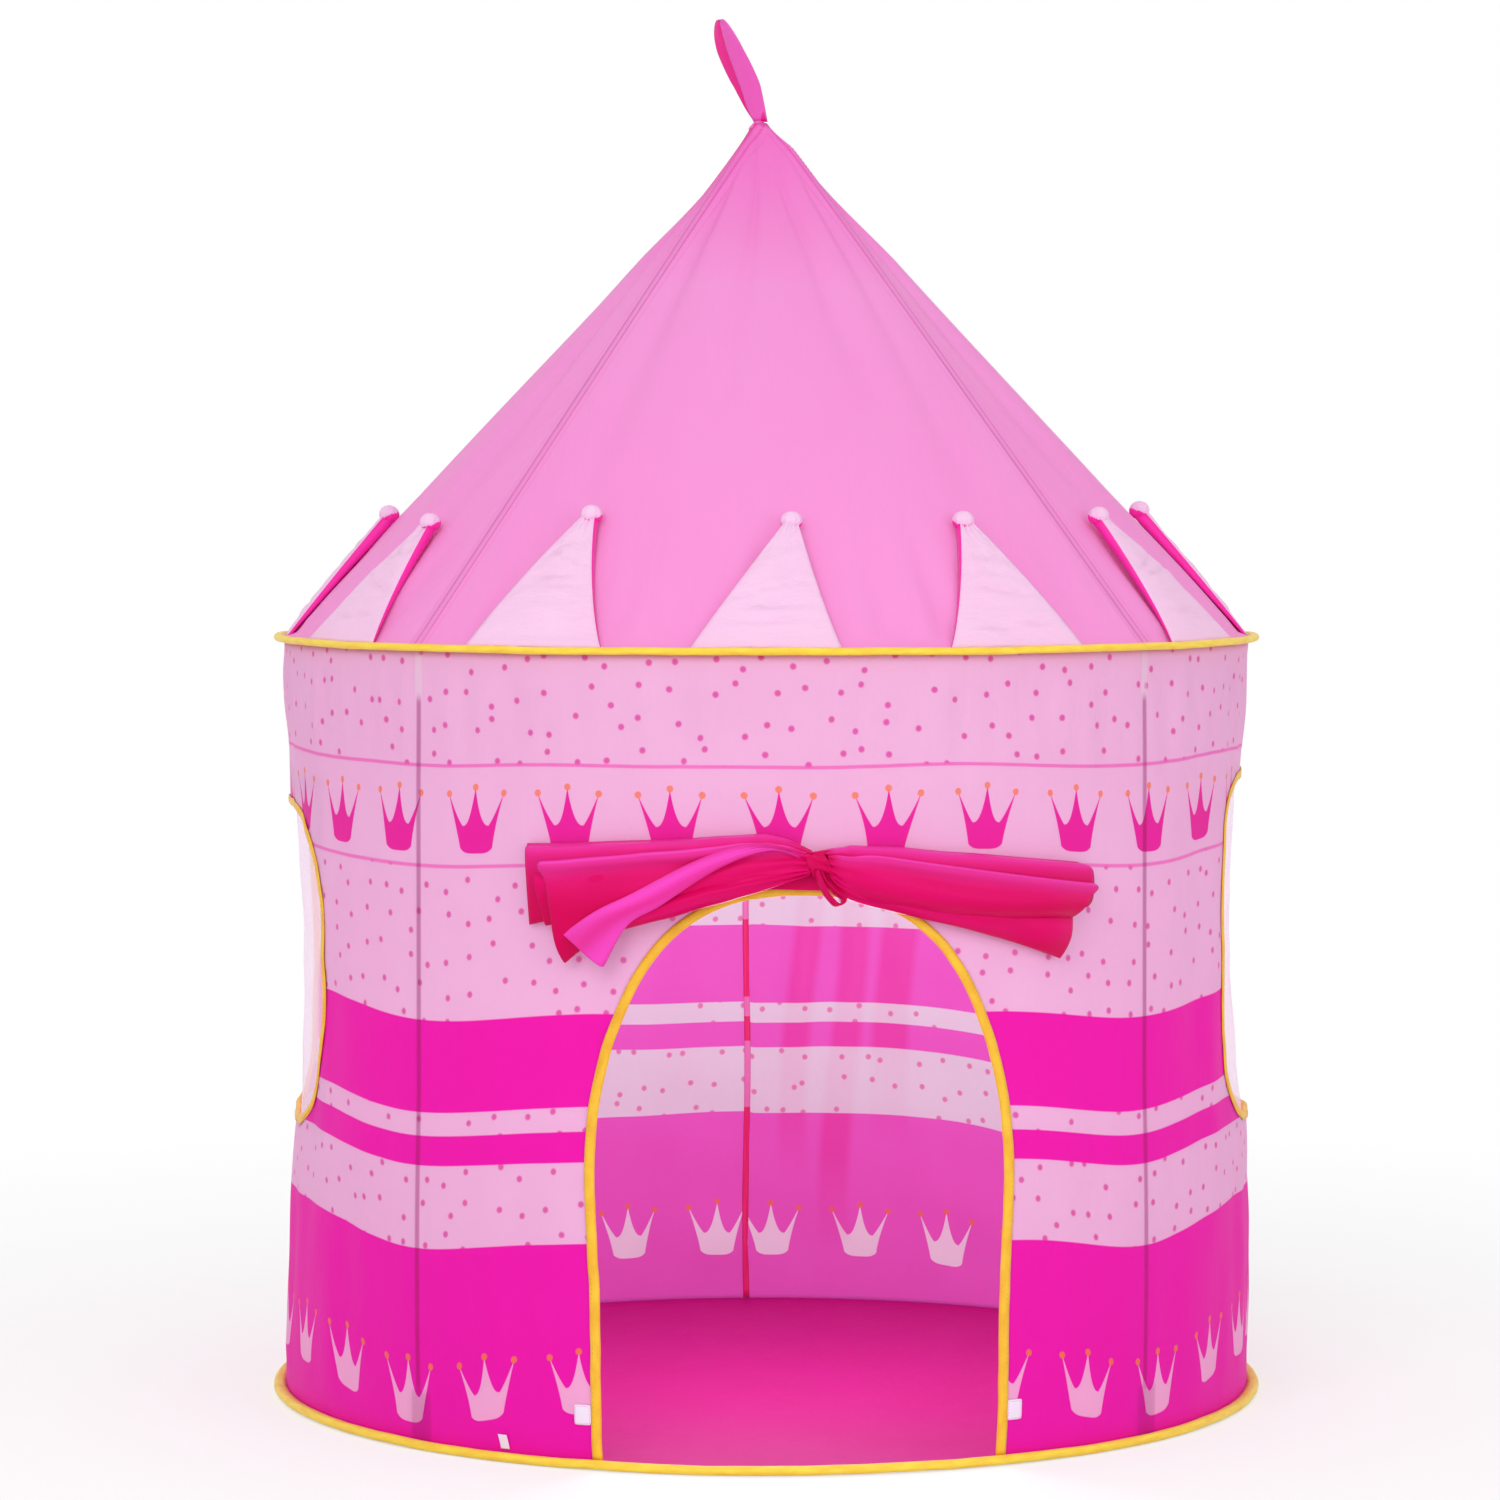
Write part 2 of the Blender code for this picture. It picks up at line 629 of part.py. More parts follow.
def add_rod(name, pivot, along, low, high):
    """A round rod from low to high, measured along it from the point that it turns about."""
    bpy.ops.mesh.primitive_cylinder_add(vertices=ROD_FACES, radius=ROD_RADIUS, depth=high - low)
    rod = adopt(name, "rod")
    for vertex in rod.data.vertices:
        vertex.co.z += (low + high) / 2
    rod.location = pivot
    rod.rotation_euler = along.to_track_quat("Z", "Y").to_euler()
    chamfer = rod.modifiers.new("Chamfer", "BEVEL")
    chamfer.width = ROD_CHAMFER
    chamfer.segments = 1
    chamfer.limit_method = "ANGLE"
    chamfer.angle_limit = ROD_CHAMFER_ANGLE


def add_elbow(name, azimuth, foot, corner, along):
    """A moulded elbow: a socket over the wall rod, and a neck that leans along the roof."""
    start = polar(rod_line(foot), azimuth, foot)
    up = (corner - start).normalized()
    neck_share = ELBOW_NECK_RADIUS / ELBOW_RADIUS
    points = (
        (start, 1),
        (corner - up * ELBOW_ARM_LENGTH, 1),
        (corner - up * ELBOW_ARM_LENGTH * 2 / 3, neck_share),
        (corner - up * ELBOW_ARM_LENGTH / 3, neck_share),
        (corner + along * ELBOW_ARM_LENGTH / 3, neck_share),
        (corner + along * ELBOW_ARM_LENGTH, neck_share),
    )
    curve = bpy.data.curves.new(name, "CURVE")
    curve.dimensions = "3D"
    curve.bevel_depth = ELBOW_RADIUS
    curve.bevel_resolution = 2
    curve.use_fill_caps = True
    spline = curve.splines.new("POLY")
    spline.points.add(len(points) - 1)
    for point, (place, width) in zip(spline.points, points):
        point.co = (*place, 1)
        point.radius = width
    curve.materials.append(materials["pvc"])
    bpy.data.collections["Play tent"].objects.link(bpy.data.objects.new(name, curve))


def build_crown_point(number, skew):
    """A stuffed point, sewn in at the eave and leaning on the roof, with a gathered knob."""
    seat = CLOTH / 2 + GAP + POINT_THICKNESS / 2 + abs(skew) * POINT_SKEW_LIFT_SHARE
    name = f"crown_point_{number + 1}"

    def place(across, up):
        along = (up * POINT_LENGTH - POINT_FOOT_DROP) / roof_slope.length
        radius = mix(eave_wall_radius, ROOF_TOP_RADIUS, along)
        width = mix(POINT_WIDTH, POINT_TIP_WIDTH, up**POINT_TAPER_BEND)
        sideways = mix(-width, width, across) / 2 + skew * up**POINT_SKEW_BEND
        swell = math.sin(math.pi * across) * math.sin(math.pi * min(up + POINT_SWELL_START_SHARE, 1))
        ripple = POINT_RIPPLE * math.sin(POINT_RIPPLES * 2 * math.pi * up) * math.sin(math.pi * across)
        lift = seat + POINT_PUFF * swell + ripple * (1 - up) + POINT_RIPPLE * up
        radius = radius + roof_outward.x * lift
        height = mix(roof_foot, APEX_HEIGHT, along) + roof_outward.z * lift
        return polar(radius, sideways / radius, height)

    piece = sheet(name, POINT_COLUMNS, POINT_ROWS, place, POINT_THICKNESS, "point")
    tip = place(0.5, 1)
    shape = bmesh.new()
    bmesh.ops.create_icosphere(shape, subdivisions=2, radius=POINT_KNOB_RADIUS)
    lifted = Vector((0, -roof_outward.x, roof_outward.z)) * POINT_KNOB_RADIUS / 2
    for vertex in shape.verts:
        vertex.co += tip + lifted
    boolean(piece, "UNION", finish_mesh(f"{name}_knob", shape, None))
    bpy.context.view_layer.update()
    plain_mesh(piece)
    piece.rotation_euler.z = POINT_FIRST_AZIMUTH + number * 2 * math.pi / POINT_COUNT


def curtain_station(share):
    """(azimuth, height, half height, half depth) of the rolled curtain, from -1 left to 1 right."""
    end_azimuth = CURTAIN_RIGHT_AZIMUTH if share > 0 else CURTAIN_LEFT_AZIMUTH
    end_height = CURTAIN_RIGHT_HEIGHT if share > 0 else CURTAIN_LEFT_HEIGHT
    out = abs(share)
    return (
        mix(CURTAIN_KNOT_AZIMUTH, end_azimuth, out),
        mix(CURTAIN_KNOT_HEIGHT, end_height, out**CURTAIN_DROOP_BEND),
        mix(CURTAIN_KNOT_RADIUS, CURTAIN_END_RADIUS, math.sin(out * math.pi / 2)),
        mix(CURTAIN_KNOT_RADIUS, CURTAIN_DEPTH, out),
    )


def build_curtain():
    outer = CLOTH / 2 + GAP + CLOTH / 2

    def header(across, up):
        turn = mix(-curtain_half_azimuth, curtain_half_azimuth, across)
        height = CURTAIN_SEAM_HEIGHT + CURTAIN_HEADER_HEIGHT * up
        return polar(wall_radius(turn, height) + outer, turn, height)

    sheet("curtain_header", curtain_columns, 1, header, CLOTH, "satin")

    def fall(across, up):
        turn = mix(-curtain_half_azimuth, curtain_half_azimuth, across)
        low = CURTAIN_KNOT_HEIGHT - CURTAIN_KNOT_RADIUS
        height = mix(low, CURTAIN_SEAM_HEIGHT - GAP, up)
        return polar(wall_radius(turn, height) + outer, turn, height)

    sheet("door_curtain", curtain_columns, 1, fall, CLOTH, "satin")

    ends = (("left", -1, CURTAIN_LEFT_AZIMUTH), ("right", 1, CURTAIN_RIGHT_AZIMUTH))
    for side, sign, end_azimuth in ends:
        span = abs(end_azimuth - CURTAIN_KNOT_AZIMUTH) * eave_wall_radius
        start = (CURTAIN_TIE_WIDTH / 2 + GAP) / span

        def roll(around, along, sign=sign, start=start):
            share = mix(start, 1, along)
            azimuth, height, half_height, half_depth = curtain_station(sign * share)
            angle = 2 * math.pi * around
            fold = CURTAIN_FOLD * math.cos(CURTAIN_FOLDS * angle) * share
            out, up = math.cos(angle), math.sin(angle)
            middle = wall_radius(azimuth, height) + curtain_seat + half_depth
            return polar(
                middle + (half_depth + fold) * out,
                azimuth,
                height + (half_height + fold) * up,
            )

        bundle(f"curtain_roll_{side}", CURTAIN_ROLL_FACES, CURTAIN_ROLL_RINGS, roll, "satin")
    build_tie()


def build_tie():
    """The ribbon round the bundle's middle, with one hanging tail."""
    azimuth, height, _half_height, _half_depth = curtain_station(0)
    middle = wall_radius(azimuth, height) + curtain_seat + CURTAIN_TIE_RADIUS

    def knot(around, along):
        angle = 2 * math.pi * around
        swell = CURTAIN_TIE_RADIUS * (1 - CURTAIN_TIE_CROWN_SHARE * (2 * along - 1) ** 2)
        sideways = mix(-CURTAIN_TIE_WIDTH, CURTAIN_TIE_WIDTH, along) / 2
        return polar(
            middle + swell * math.cos(angle),
            azimuth + sideways / middle,
            height + swell * math.sin(angle),
        )

    tie = bundle("curtain_tie", CURTAIN_TIE_FACES, CURTAIN_TIE_RINGS, knot, "satin")

    def tail(across, up):
        sideways = mix(-CURTAIN_TAIL_WIDTH, CURTAIN_TAIL_WIDTH, across) / 2
        low = height - CURTAIN_TAIL_LENGTH
        return polar(
            middle + CURTAIN_TIE_RADIUS / 2,
            azimuth + sideways / middle,
            mix(low, height, up),
        )

    boolean(tie, "UNION", plain_mesh(sheet("tail", 2, 3, tail, 2 * TAPE, None)))


def main():
    clear_scene()
    material("print", (0.85, 0.05, 0.42))
    material("floor", (0.75, 0.02, 0.3))
    material("roof", (0.92, 0.3, 0.6))
    material("point", (0.94, 0.45, 0.7))
    material("tape", (0.85, 0.6, 0.08), 0.5)
    material("tape_pale", (0.8, 0.25, 0.5))
    material("net", (0.9, 0.86, 0.93), 0.7)
    material("satin", (0.8, 0.01, 0.2), 0.35)
    material("wire", (0.5, 0.5, 0.52), 0.35, 1.0)
    material("rod", (0.35, 0.35, 0.38), 0.4)
    material("pvc", (0.9, 0.9, 0.9), 0.4)
    build_floor_and_rings()
    build_wall()
    build_edge_tapes()
    build_nets()
    build_sewn_parts()
    build_roof()
    build_cap()
    build_loop()
    build_rods()
    for number in range(POINT_COUNT):
        skew_share = POINT_SKEW_SHARES[number % len(POINT_SKEW_SHARES)]
        build_crown_point(number, POINT_SKEW * skew_share)
    build_curtain()


main()
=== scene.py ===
import json
import math
import bmesh
import bpy
import numpy as np
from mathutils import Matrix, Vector

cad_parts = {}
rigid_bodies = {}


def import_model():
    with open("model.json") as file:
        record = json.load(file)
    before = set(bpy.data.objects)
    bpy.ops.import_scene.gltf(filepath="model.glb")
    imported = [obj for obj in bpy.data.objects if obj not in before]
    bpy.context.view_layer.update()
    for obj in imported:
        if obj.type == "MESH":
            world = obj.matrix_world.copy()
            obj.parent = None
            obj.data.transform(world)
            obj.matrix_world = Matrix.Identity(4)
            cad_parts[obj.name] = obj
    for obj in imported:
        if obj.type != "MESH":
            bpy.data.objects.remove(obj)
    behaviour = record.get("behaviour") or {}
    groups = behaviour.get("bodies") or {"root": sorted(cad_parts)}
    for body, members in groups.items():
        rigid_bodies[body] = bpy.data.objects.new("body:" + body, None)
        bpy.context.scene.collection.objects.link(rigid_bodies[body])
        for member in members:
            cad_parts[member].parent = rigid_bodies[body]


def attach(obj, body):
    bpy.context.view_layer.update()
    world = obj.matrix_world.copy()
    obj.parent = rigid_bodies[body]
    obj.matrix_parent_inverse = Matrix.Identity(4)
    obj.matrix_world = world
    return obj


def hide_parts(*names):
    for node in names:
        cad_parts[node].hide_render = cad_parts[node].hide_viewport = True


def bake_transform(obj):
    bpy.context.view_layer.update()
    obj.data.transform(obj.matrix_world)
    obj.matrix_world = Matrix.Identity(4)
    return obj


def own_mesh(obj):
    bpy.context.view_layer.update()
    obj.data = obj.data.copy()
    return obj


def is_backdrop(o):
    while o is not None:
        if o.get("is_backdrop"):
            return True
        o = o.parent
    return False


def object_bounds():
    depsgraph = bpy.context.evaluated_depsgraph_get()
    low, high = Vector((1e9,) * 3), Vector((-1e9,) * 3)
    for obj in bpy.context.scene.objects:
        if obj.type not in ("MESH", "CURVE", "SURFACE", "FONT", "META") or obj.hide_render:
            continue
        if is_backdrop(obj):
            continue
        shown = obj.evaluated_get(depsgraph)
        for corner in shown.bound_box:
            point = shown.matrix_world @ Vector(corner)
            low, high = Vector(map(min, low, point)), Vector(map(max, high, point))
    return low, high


for leftover in list(bpy.data.objects):
    bpy.data.objects.remove(leftover)
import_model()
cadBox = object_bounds()
scene = bpy.context.scene
mm = 0.001
degree = math.pi / 180
print("play tent: frame loaded")


# azimuth 0 is the door's middle and grows towards +X
def mix(a, b, share):
    return a + (b - a) * share


def spot(radius, azimuth, height):
    radius, azimuth, height = np.broadcast_arrays(radius, azimuth, height)
    return np.stack((radius * np.sin(azimuth), -radius * np.cos(azimuth), height), axis=-1)


def smooth(value, low, high):
    share = np.clip((value - low) / (high - low), 0, 1)
    return share * share * (3 - 2 * share)


def waves(across, along, size, seed, count=8):
    # gentle unevenness of about -1 to 1, from a few sine waves that cross each other
    chance = np.random.default_rng(seed)
    total = 0
    for _ in range(count):
        turn, start = chance.uniform(0, math.tau, 2)
        pitch = size * chance.uniform(0.6, 1.7)
        total = total + np.sin((across * math.cos(turn) + along * math.sin(turn)) * math.tau / pitch + start)
    return total / math.sqrt(count) / 1.3


def rodNearness(azimuth, spread):
    away = np.abs((azimuth / degree) % 90 - 45)
    return np.exp(-((away / spread) ** 2))


def meshPiece(name, points, faces, finishes, uvs=None, smoothShade=True):
    mesh = bpy.data.meshes.new(name)
    mesh.from_pydata(np.asarray(points).reshape(-1, 3).tolist(), [], [list(map(int, face)) for face in faces])
    for key, values in (uvs or {}).items():
        mesh.uv_layers.new(name=key).data.foreach_set("uv", np.asarray(values, np.float32).ravel())
    for finish in finishes:
        mesh.materials.append(finish)
    if smoothShade:
        mesh.shade_smooth()
    piece = bpy.data.objects.new(name, mesh)
    scene.collection.objects.link(piece)
    return piece


def gridFaces(columns, rows, ring=False):
    # corners as (column, row) pairs, with the column not yet wrapped round
    column, row = np.meshgrid(np.arange(columns), np.arange(rows))
    corners = np.stack((column, row), -1).reshape(-1, 1, 2) + np.array(((0, 0), (1, 0), (1, 1), (0, 1)))
    width = columns if ring else columns + 1
    return corners, corners[..., 1] * width + corners[..., 0] % width


def clothGrid(name, columns, rows, place, size, finishes, ring=False):
    # place(across, up) puts a sheet's points, and its UV map is in metres of cloth
    steps = np.linspace(0, 1, columns + 1)[: columns if ring else None]
    across, up = np.meshgrid(steps, np.linspace(0, 1, rows + 1))
    corners, faces = gridFaces(columns, rows, ring)
    uvs = {"cloth": corners / np.array((columns, rows)) * np.array(size)}
    return meshPiece(name, place(across, up), faces, finishes, uvs)


def thicken(piece, thickness, offset=0.0, inner=0):
    wall = piece.modifiers.new("Thickness", "SOLIDIFY")
    wall.thickness, wall.offset = thickness, offset
    wall.use_even_offset = False
    wall.material_offset = inner


def editMesh(piece, change):
    shape = bmesh.new()
    shape.from_mesh(piece.data)
    change(shape)
    shape.to_mesh(piece.data)
    shape.free()
    return piece


def tidyNormals(piece, merge=0.01 * mm):
    def change(shape):
        bmesh.ops.remove_doubles(shape, verts=shape.verts, dist=merge)
        bmesh.ops.recalc_face_normals(shape, faces=shape.faces)

    return editMesh(piece, change)


def fillHoles(piece, merge=None):
    # a shell with seams to weld keeps its own normals, and any other has them turned outward
    def change(shape):
        if merge:
            bmesh.ops.remove_doubles(shape, verts=shape.verts, dist=merge)
        bmesh.ops.holes_fill(shape, edges=[edge for edge in shape.edges if edge.is_boundary], sides=0)
        if not merge:
            bmesh.ops.recalc_face_normals(shape, faces=shape.faces)

    return editMesh(piece, change)


def pointValues(piece, name, values=None):
    # a value at each point that a finish reads by its name, 0 if none is given
    layer = piece.data.attributes.new(name, "FLOAT", "POINT")
    if values is not None:
        layer.data.foreach_set("value", np.asarray(values).astype(np.float32).ravel())


def pointsAndCorners(mesh):
    # each point's place, and the point at each corner of each face
    points = np.array([v.co[:] for v in mesh.vertices])
    corner = np.empty(len(mesh.loops), int)
    mesh.loops.foreach_get("vertex_index", corner)
    return points, corner


def remap(mesh, corners):
    mesh.uv_layers["cloth"].data.foreach_set("uv", corners.astype(np.float32).ravel())


def paint(red, green, blue):
    # a colour as it is read off a picture, 0 to 255, made linear
    made = [value / 255 for value in (red, green, blue)]
    return (*[v / 12.92 if v <= 0.04045 else ((v + 0.055) / 1.055) ** 2.4 for v in made], 1)


class Term:
    # one output of a node, so that sums on it read as sums
    def __init__(self, finish, output):
        self.finish, self.output = finish, output

    def sum(self, operation, first, second):
        return self.finish.make("Math", {"operation": operation}, {0: first, 1: second})

    def __add__(self, other):
        return self.sum("ADD", self, other)

    def __sub__(self, other):
        return self.sum("SUBTRACT", self, other)

    def __mul__(self, other):
        return self.sum("MULTIPLY", self, other)

    def __truediv__(self, other):
        return self.sum("DIVIDE", self, other)

    def __pow__(self, other):
        return self.sum("POWER", self, other)

    def __rsub__(self, other):
        return self.sum("SUBTRACT", other, self)

    def __mod__(self, other):
        return self.sum("FLOORED_MODULO", self, other)

    def __abs__(self):
        return self.finish.make("Math", {"operation": "ABSOLUTE"}, {0: self})

    __radd__, __rmul__ = __add__, __mul__

    def least(self, other):
        return self.sum("MINIMUM", self, other)

    def most(self, other):
        return self.sum("MAXIMUM", self, other)

    def over(self, limit, soft):
        # 0 below the limit and 1 above it, with an edge this wide
        return self.finish.make(
            "Math", {"operation": "MULTIPLY_ADD", "use_clamp": True}, {0: self, 1: 1 / soft, 2: 0.5 - limit / soft}
        )

    def between(self, low, high, soft):
        return self.over(low, soft) - self.over(high, soft)


class Finish:
    # one material and its nodes
    def __init__(self, name):
        self.material = bpy.data.materials.new(name)
        self.material.use_nodes = True
        self.tree = self.material.node_tree
        self.tree.nodes.clear()

    def make(self, kind, settings=None, sockets=None, output=0):
        node = self.tree.nodes.new("ShaderNode" + kind)
        for key, value in (settings or {}).items():
            setattr(node, key, value)
        for key, value in (sockets or {}).items():
            if isinstance(value, Term):
                self.tree.links.new(value.output, node.inputs[key])
            else:
                node.inputs[key].default_value = value
        outputs = [Term(self, each) for each in node.outputs]
        return outputs if output is None or not outputs else outputs[output]

    def blend(self, share, first, second, way="MIX"):
        return self.make("Mix", {"data_type": "RGBA", "blend_type": way}, {0: share, 6: first, 7: second}, 2)

    def uv(self, name="cloth"):
        return self.make("UVMap", {"uv_map": name})

    def parts(self, vector):
        return self.make("SeparateXYZ", {}, {0: vector}, None)

    def noise(self, vector, scale, detail=3.0, stretch=(1, 1, 1), roughness=0.5):
        moved = self.make("Mapping", {}, {"Vector": vector, "Scale": stretch})
        return self.make("TexNoise", {}, {"Vector": moved, "Scale": scale, "Detail": detail, "Roughness": roughness})

    def read(self, name):
        return self.make("Attribute", {"attribute_name": name}, {}, 2)

    def sine(self, turn):
        return self.make("Math", {"operation": "SINE"}, {0: turn})

    def weave(self, vector, pitch):
        # plain weave: threads over and under by turns
        across, along, _deep = self.parts(vector)
        return self.sine(across * (math.tau / pitch)) * self.sine(along * (math.tau / pitch))

    def surface(self, colour, roughness=0.6, bumps=(), **fixed):
        # bumps are (height, strength, distance), from the coarse one to the fine one
        normal = None
        for height, strength, distance in bumps:
            sockets = {"Height": height, "Strength": strength, "Distance": distance}
            if normal:
                sockets["Normal"] = normal
            normal = self.make("Bump", {}, sockets)
        sockets = {"Base Color": colour, "Roughness": roughness}
        if normal:
            sockets["Normal"] = normal
        for key, value in fixed.items():
            sockets[key.replace("_", " ")] = value
        return self.make("BsdfPrincipled", {}, sockets), normal

    def end(self, shader):
        self.make("OutputMaterial", {}, {"Surface": shader})
        return self.material


def lit(finish, solid, glow, share, deepGlow=None, deep=None):
    # thin cloth that lets some light through, less of it where the print is deep
    shine, normal = solid
    bent = {"Normal": normal} if normal else {}
    through = finish.make("BsdfTranslucent", {}, {"Color": glow, **bent})
    if deepGlow:
        other = finish.make("BsdfTranslucent", {}, {"Color": deepGlow, **bent})
        through = finish.make("MixShader", {}, {0: deep, 1: through, 2: other})
    return finish.end(finish.make("MixShader", {}, {0: share, 1: shine, 2: through}))


printLook = {
    "bands": ((0.445, 0.354), (0.331, 0.302), (0.224, -1.0)),  # hot pink, from and to, in metres up
    "lines": (0.6865, 0.591), "lineWidth": 0.0034, "soft": 0.0012, "split": 0.35,
    "crownPitch": 0.10495, "crownStart": -0.0107,
    "upperCrown": 0.603, "lowerCrown": 0.055, "lowerShift": 0.0137,
    "dotSpacing": 0.031, "dotSize": 0.0031, "dotSoft": 0.0016, "dotScatter": 0.72,
    "hot": paint(242, 6, 186), "pale": paint(240, 190, 229), "line": paint(238, 84, 190),
    # mottle is a painted shade of the pale print, mixed in at random
    "mottle": paint(236, 146, 204), "dot": paint(220, 26, 160), "orange": paint(246, 128, 60),
    "crown": paint(247, 176, 222), "hotCrown": paint(234, 26, 166),
    # the inside colours: the print's paler reverse, painted lighter still for the light that comes through the cloth
    "hotInside": paint(232, 112, 222), "paleInside": paint(224, 255, 248), "mottleInside": paint(234, 178, 214),
    "crownInside": paint(238, 255, 252), "hotCrownInside": paint(232, 112, 222),
    # the last colour here is painted shade for the rear folds
    "dotInside": paint(222, 104, 178), "orangeInside": paint(240, 140, 80), "foldShadeInside": paint(228, 24, 156),
    "glow": paint(255, 206, 232), "deepGlow": paint(250, 60, 180), "glowShare": 0.26,
    # painted colours: a shade for the rods and pockets behind the cloth, and a paler tone at the white elbows
    "shadeBehind": paint(196, 110, 168), "elbow": paint(250, 236, 246),
    # painted shade and light for what stands behind the cloth, each as half its width and its two heights
    "rodShadeBehind": (0.0030, 0.058, 0.748), "pocketShadeBehind": (0.0135, 0.004, 0.058), "elbowLightBehind": (0.0045, 0.748, 0.797),
    "pocketShift": 0.004,
}
# a plain crown 64 mm wide and high, from its foot's middle, in metres
crownSize = {
    "valley": 0.0150, "middleRise": 0.036, "outerRun": 0.0170, "outerRise": 0.029, "body": 0.026,
    "flareHeight": 0.055, "flare": 0.0140, "waist": 0.0185, "footHalf": 0.0190, "footCurve": 0.005,
    "half": 0.0318, "soft": 0.0008, "middleTip": 0.0625, "outerTip": (0.0325, 0.0565), "tip": 0.0034,
}


def crownShape(x, y):
    # 1 inside the crown
    size = crownSize
    x = abs(x)
    middle = (1 - x / size["valley"]).most(0.0) ** 2.4 * size["middleRise"]
    outer = ((x - size["valley"]) / size["outerRun"]).most(0.0) ** 1.2 * size["outerRise"]
    top = middle.most(outer) + size["body"]
    side = (y.most(0.0) / size["flareHeight"]) ** 1.3 * size["flare"] + size["waist"]
    foot = (x / size["footHalf"]) ** 4 * size["footCurve"]
    inside = 1
    for room in (top - y, side - x, y - foot, size["half"] - x):
        inside = room.over(0, size["soft"]) * inside
    return inside


def crownTips(x, y):
    size = crownSize
    x = abs(x)
    across, up = x - size["outerTip"][0], y - size["outerTip"][1]
    above = y - size["middleTip"]
    middle = (x * x + above * above) ** 0.5
    outer = (across * across + up * up) ** 0.5
    return (size["tip"] - middle.least(outer)).over(0, 0.0010)


def wallFinish(name, inside):
    look = printLook
    finish = Finish(name)
    place = finish.uv("print")
    across, height, _deep = finish.parts(place)
    soft = look["soft"]
    hot = 0
    for top, foot in look["bands"]:
        hot = height.between(foot, top, soft) + hot
    keys = ("pale", "mottle", "hot", "dot", "crown", "hotCrown", "orange")
    # inside, the colours are the print's reverse, painted lighter for the light through the cloth
    pale, shadedPale, hotPink, dotPink, crownPale, hotCrown, orange = (look[key + "Inside" * inside] for key in keys)
    mottle = finish.noise(place, 9, 2.0)
    # painted shade: the pale print mixed at random with a shaded copy of itself
    base = finish.blend(mottle * 0.25, pale, shadedPale)
    quiet = height.between(look["lines"][1], look["lines"][0], soft)
    dots = finish.make(
        "TexVoronoi", {"voronoi_dimensions": "2D", "feature": "F1"},
        {"Vector": place, "Scale": 1 / look["dotSpacing"], "Randomness": look["dotScatter"]},
    ) * look["dotSpacing"]
    dotted = (look["dotSize"] - dots).over(0, look["dotSoft"]) * (1 - quiet)
    base = finish.blend(dotted * 0.85, base, dotPink)
    for at in look["lines"]:
        strip = (look["lineWidth"] / 2 - abs(height - at)).over(0, soft)
        base = finish.blend(strip * 0.8, base, look["line"])
    base = finish.blend(hot, base, hotPink)
    lower = 1 - height.over(look["split"], 0.001)
    start = lower * look["lowerShift"] + (look["crownStart"] - look["crownPitch"] / 2)
    cell = (across - start) % look["crownPitch"] - look["crownPitch"] / 2
    rise = height - look["upperCrown"] + lower * (look["upperCrown"] - look["lowerCrown"])
    crown = crownShape(cell, rise)
    base = finish.blend(crown * (1 - lower), base, hotCrown)
    base = finish.blend(crown * lower, base, crownPale)
    base = finish.blend(crownTips(cell, rise) * 0.9, base, orange)
    printed = (hot + crown * (1 - lower) * 0.8).least(1.0) * (1 - crown * lower)
    cloth = finish.uv("cloth")
    arc, up, _deep = finish.parts(cloth)
    if inside:
        # painted shade along the rear folds, stronger on the hot pink bands
        turn = degree * wallSize["radius"]
        for middle, spread, _depth, low, high in wallSize["folded"][:3]:
            off = abs(arc + finish.sine(up * 9 + middle) * (1.6 * turn) - middle * turn)
            line = (spread * turn * 0.8 - off).over(0, 0.010) * up.between(low, high, 0.12)
            base = finish.blend(line * (hot * 0.35 + 0.1), base, look["foldShadeInside"])
    else:
        # painted shade of the rods and their pockets behind the cloth, and a painted paler patch at the white elbows
        quarter = math.pi / 2 * wallSize["radius"]
        beside = arc % quarter - quarter / 2

        def shadeBehind(key, away, soft, softEnds):
            half, low, high = look[key]
            return (half - away).over(0, soft) * up.between(low, high, softEnds)

        rod = shadeBehind("rodShadeBehind", abs(beside), 0.0022, 0.012)
        pocket = shadeBehind("pocketShadeBehind", abs(beside - look["pocketShift"]), 0.003, 0.006)
        elbow = shadeBehind("elbowLightBehind", abs(beside), 0.002, 0.006)
        shade = finish.blend(1.0, base, look["shadeBehind"], "MULTIPLY")
        base = finish.blend(rod * 0.75 + pocket * 0.35, base, shade)
        # painted paler patch at the elbows
        base = finish.blend(elbow * 0.34, base, look["elbow"])
    creases = finish.noise(cloth, 14, 4.0, (1.0, 0.45, 1), 0.6)
    bumps = ((creases, 0.35, 0.006), (finish.weave(cloth, 0.0014), 0.12, 0.0002))
    solid = finish.surface(base, mottle * 0.12 + 0.5, bumps, Specular_IOR_Level=0.22)
    return lit(finish, solid, look["glow"], look["glowShare"], look["deepGlow"], printed)


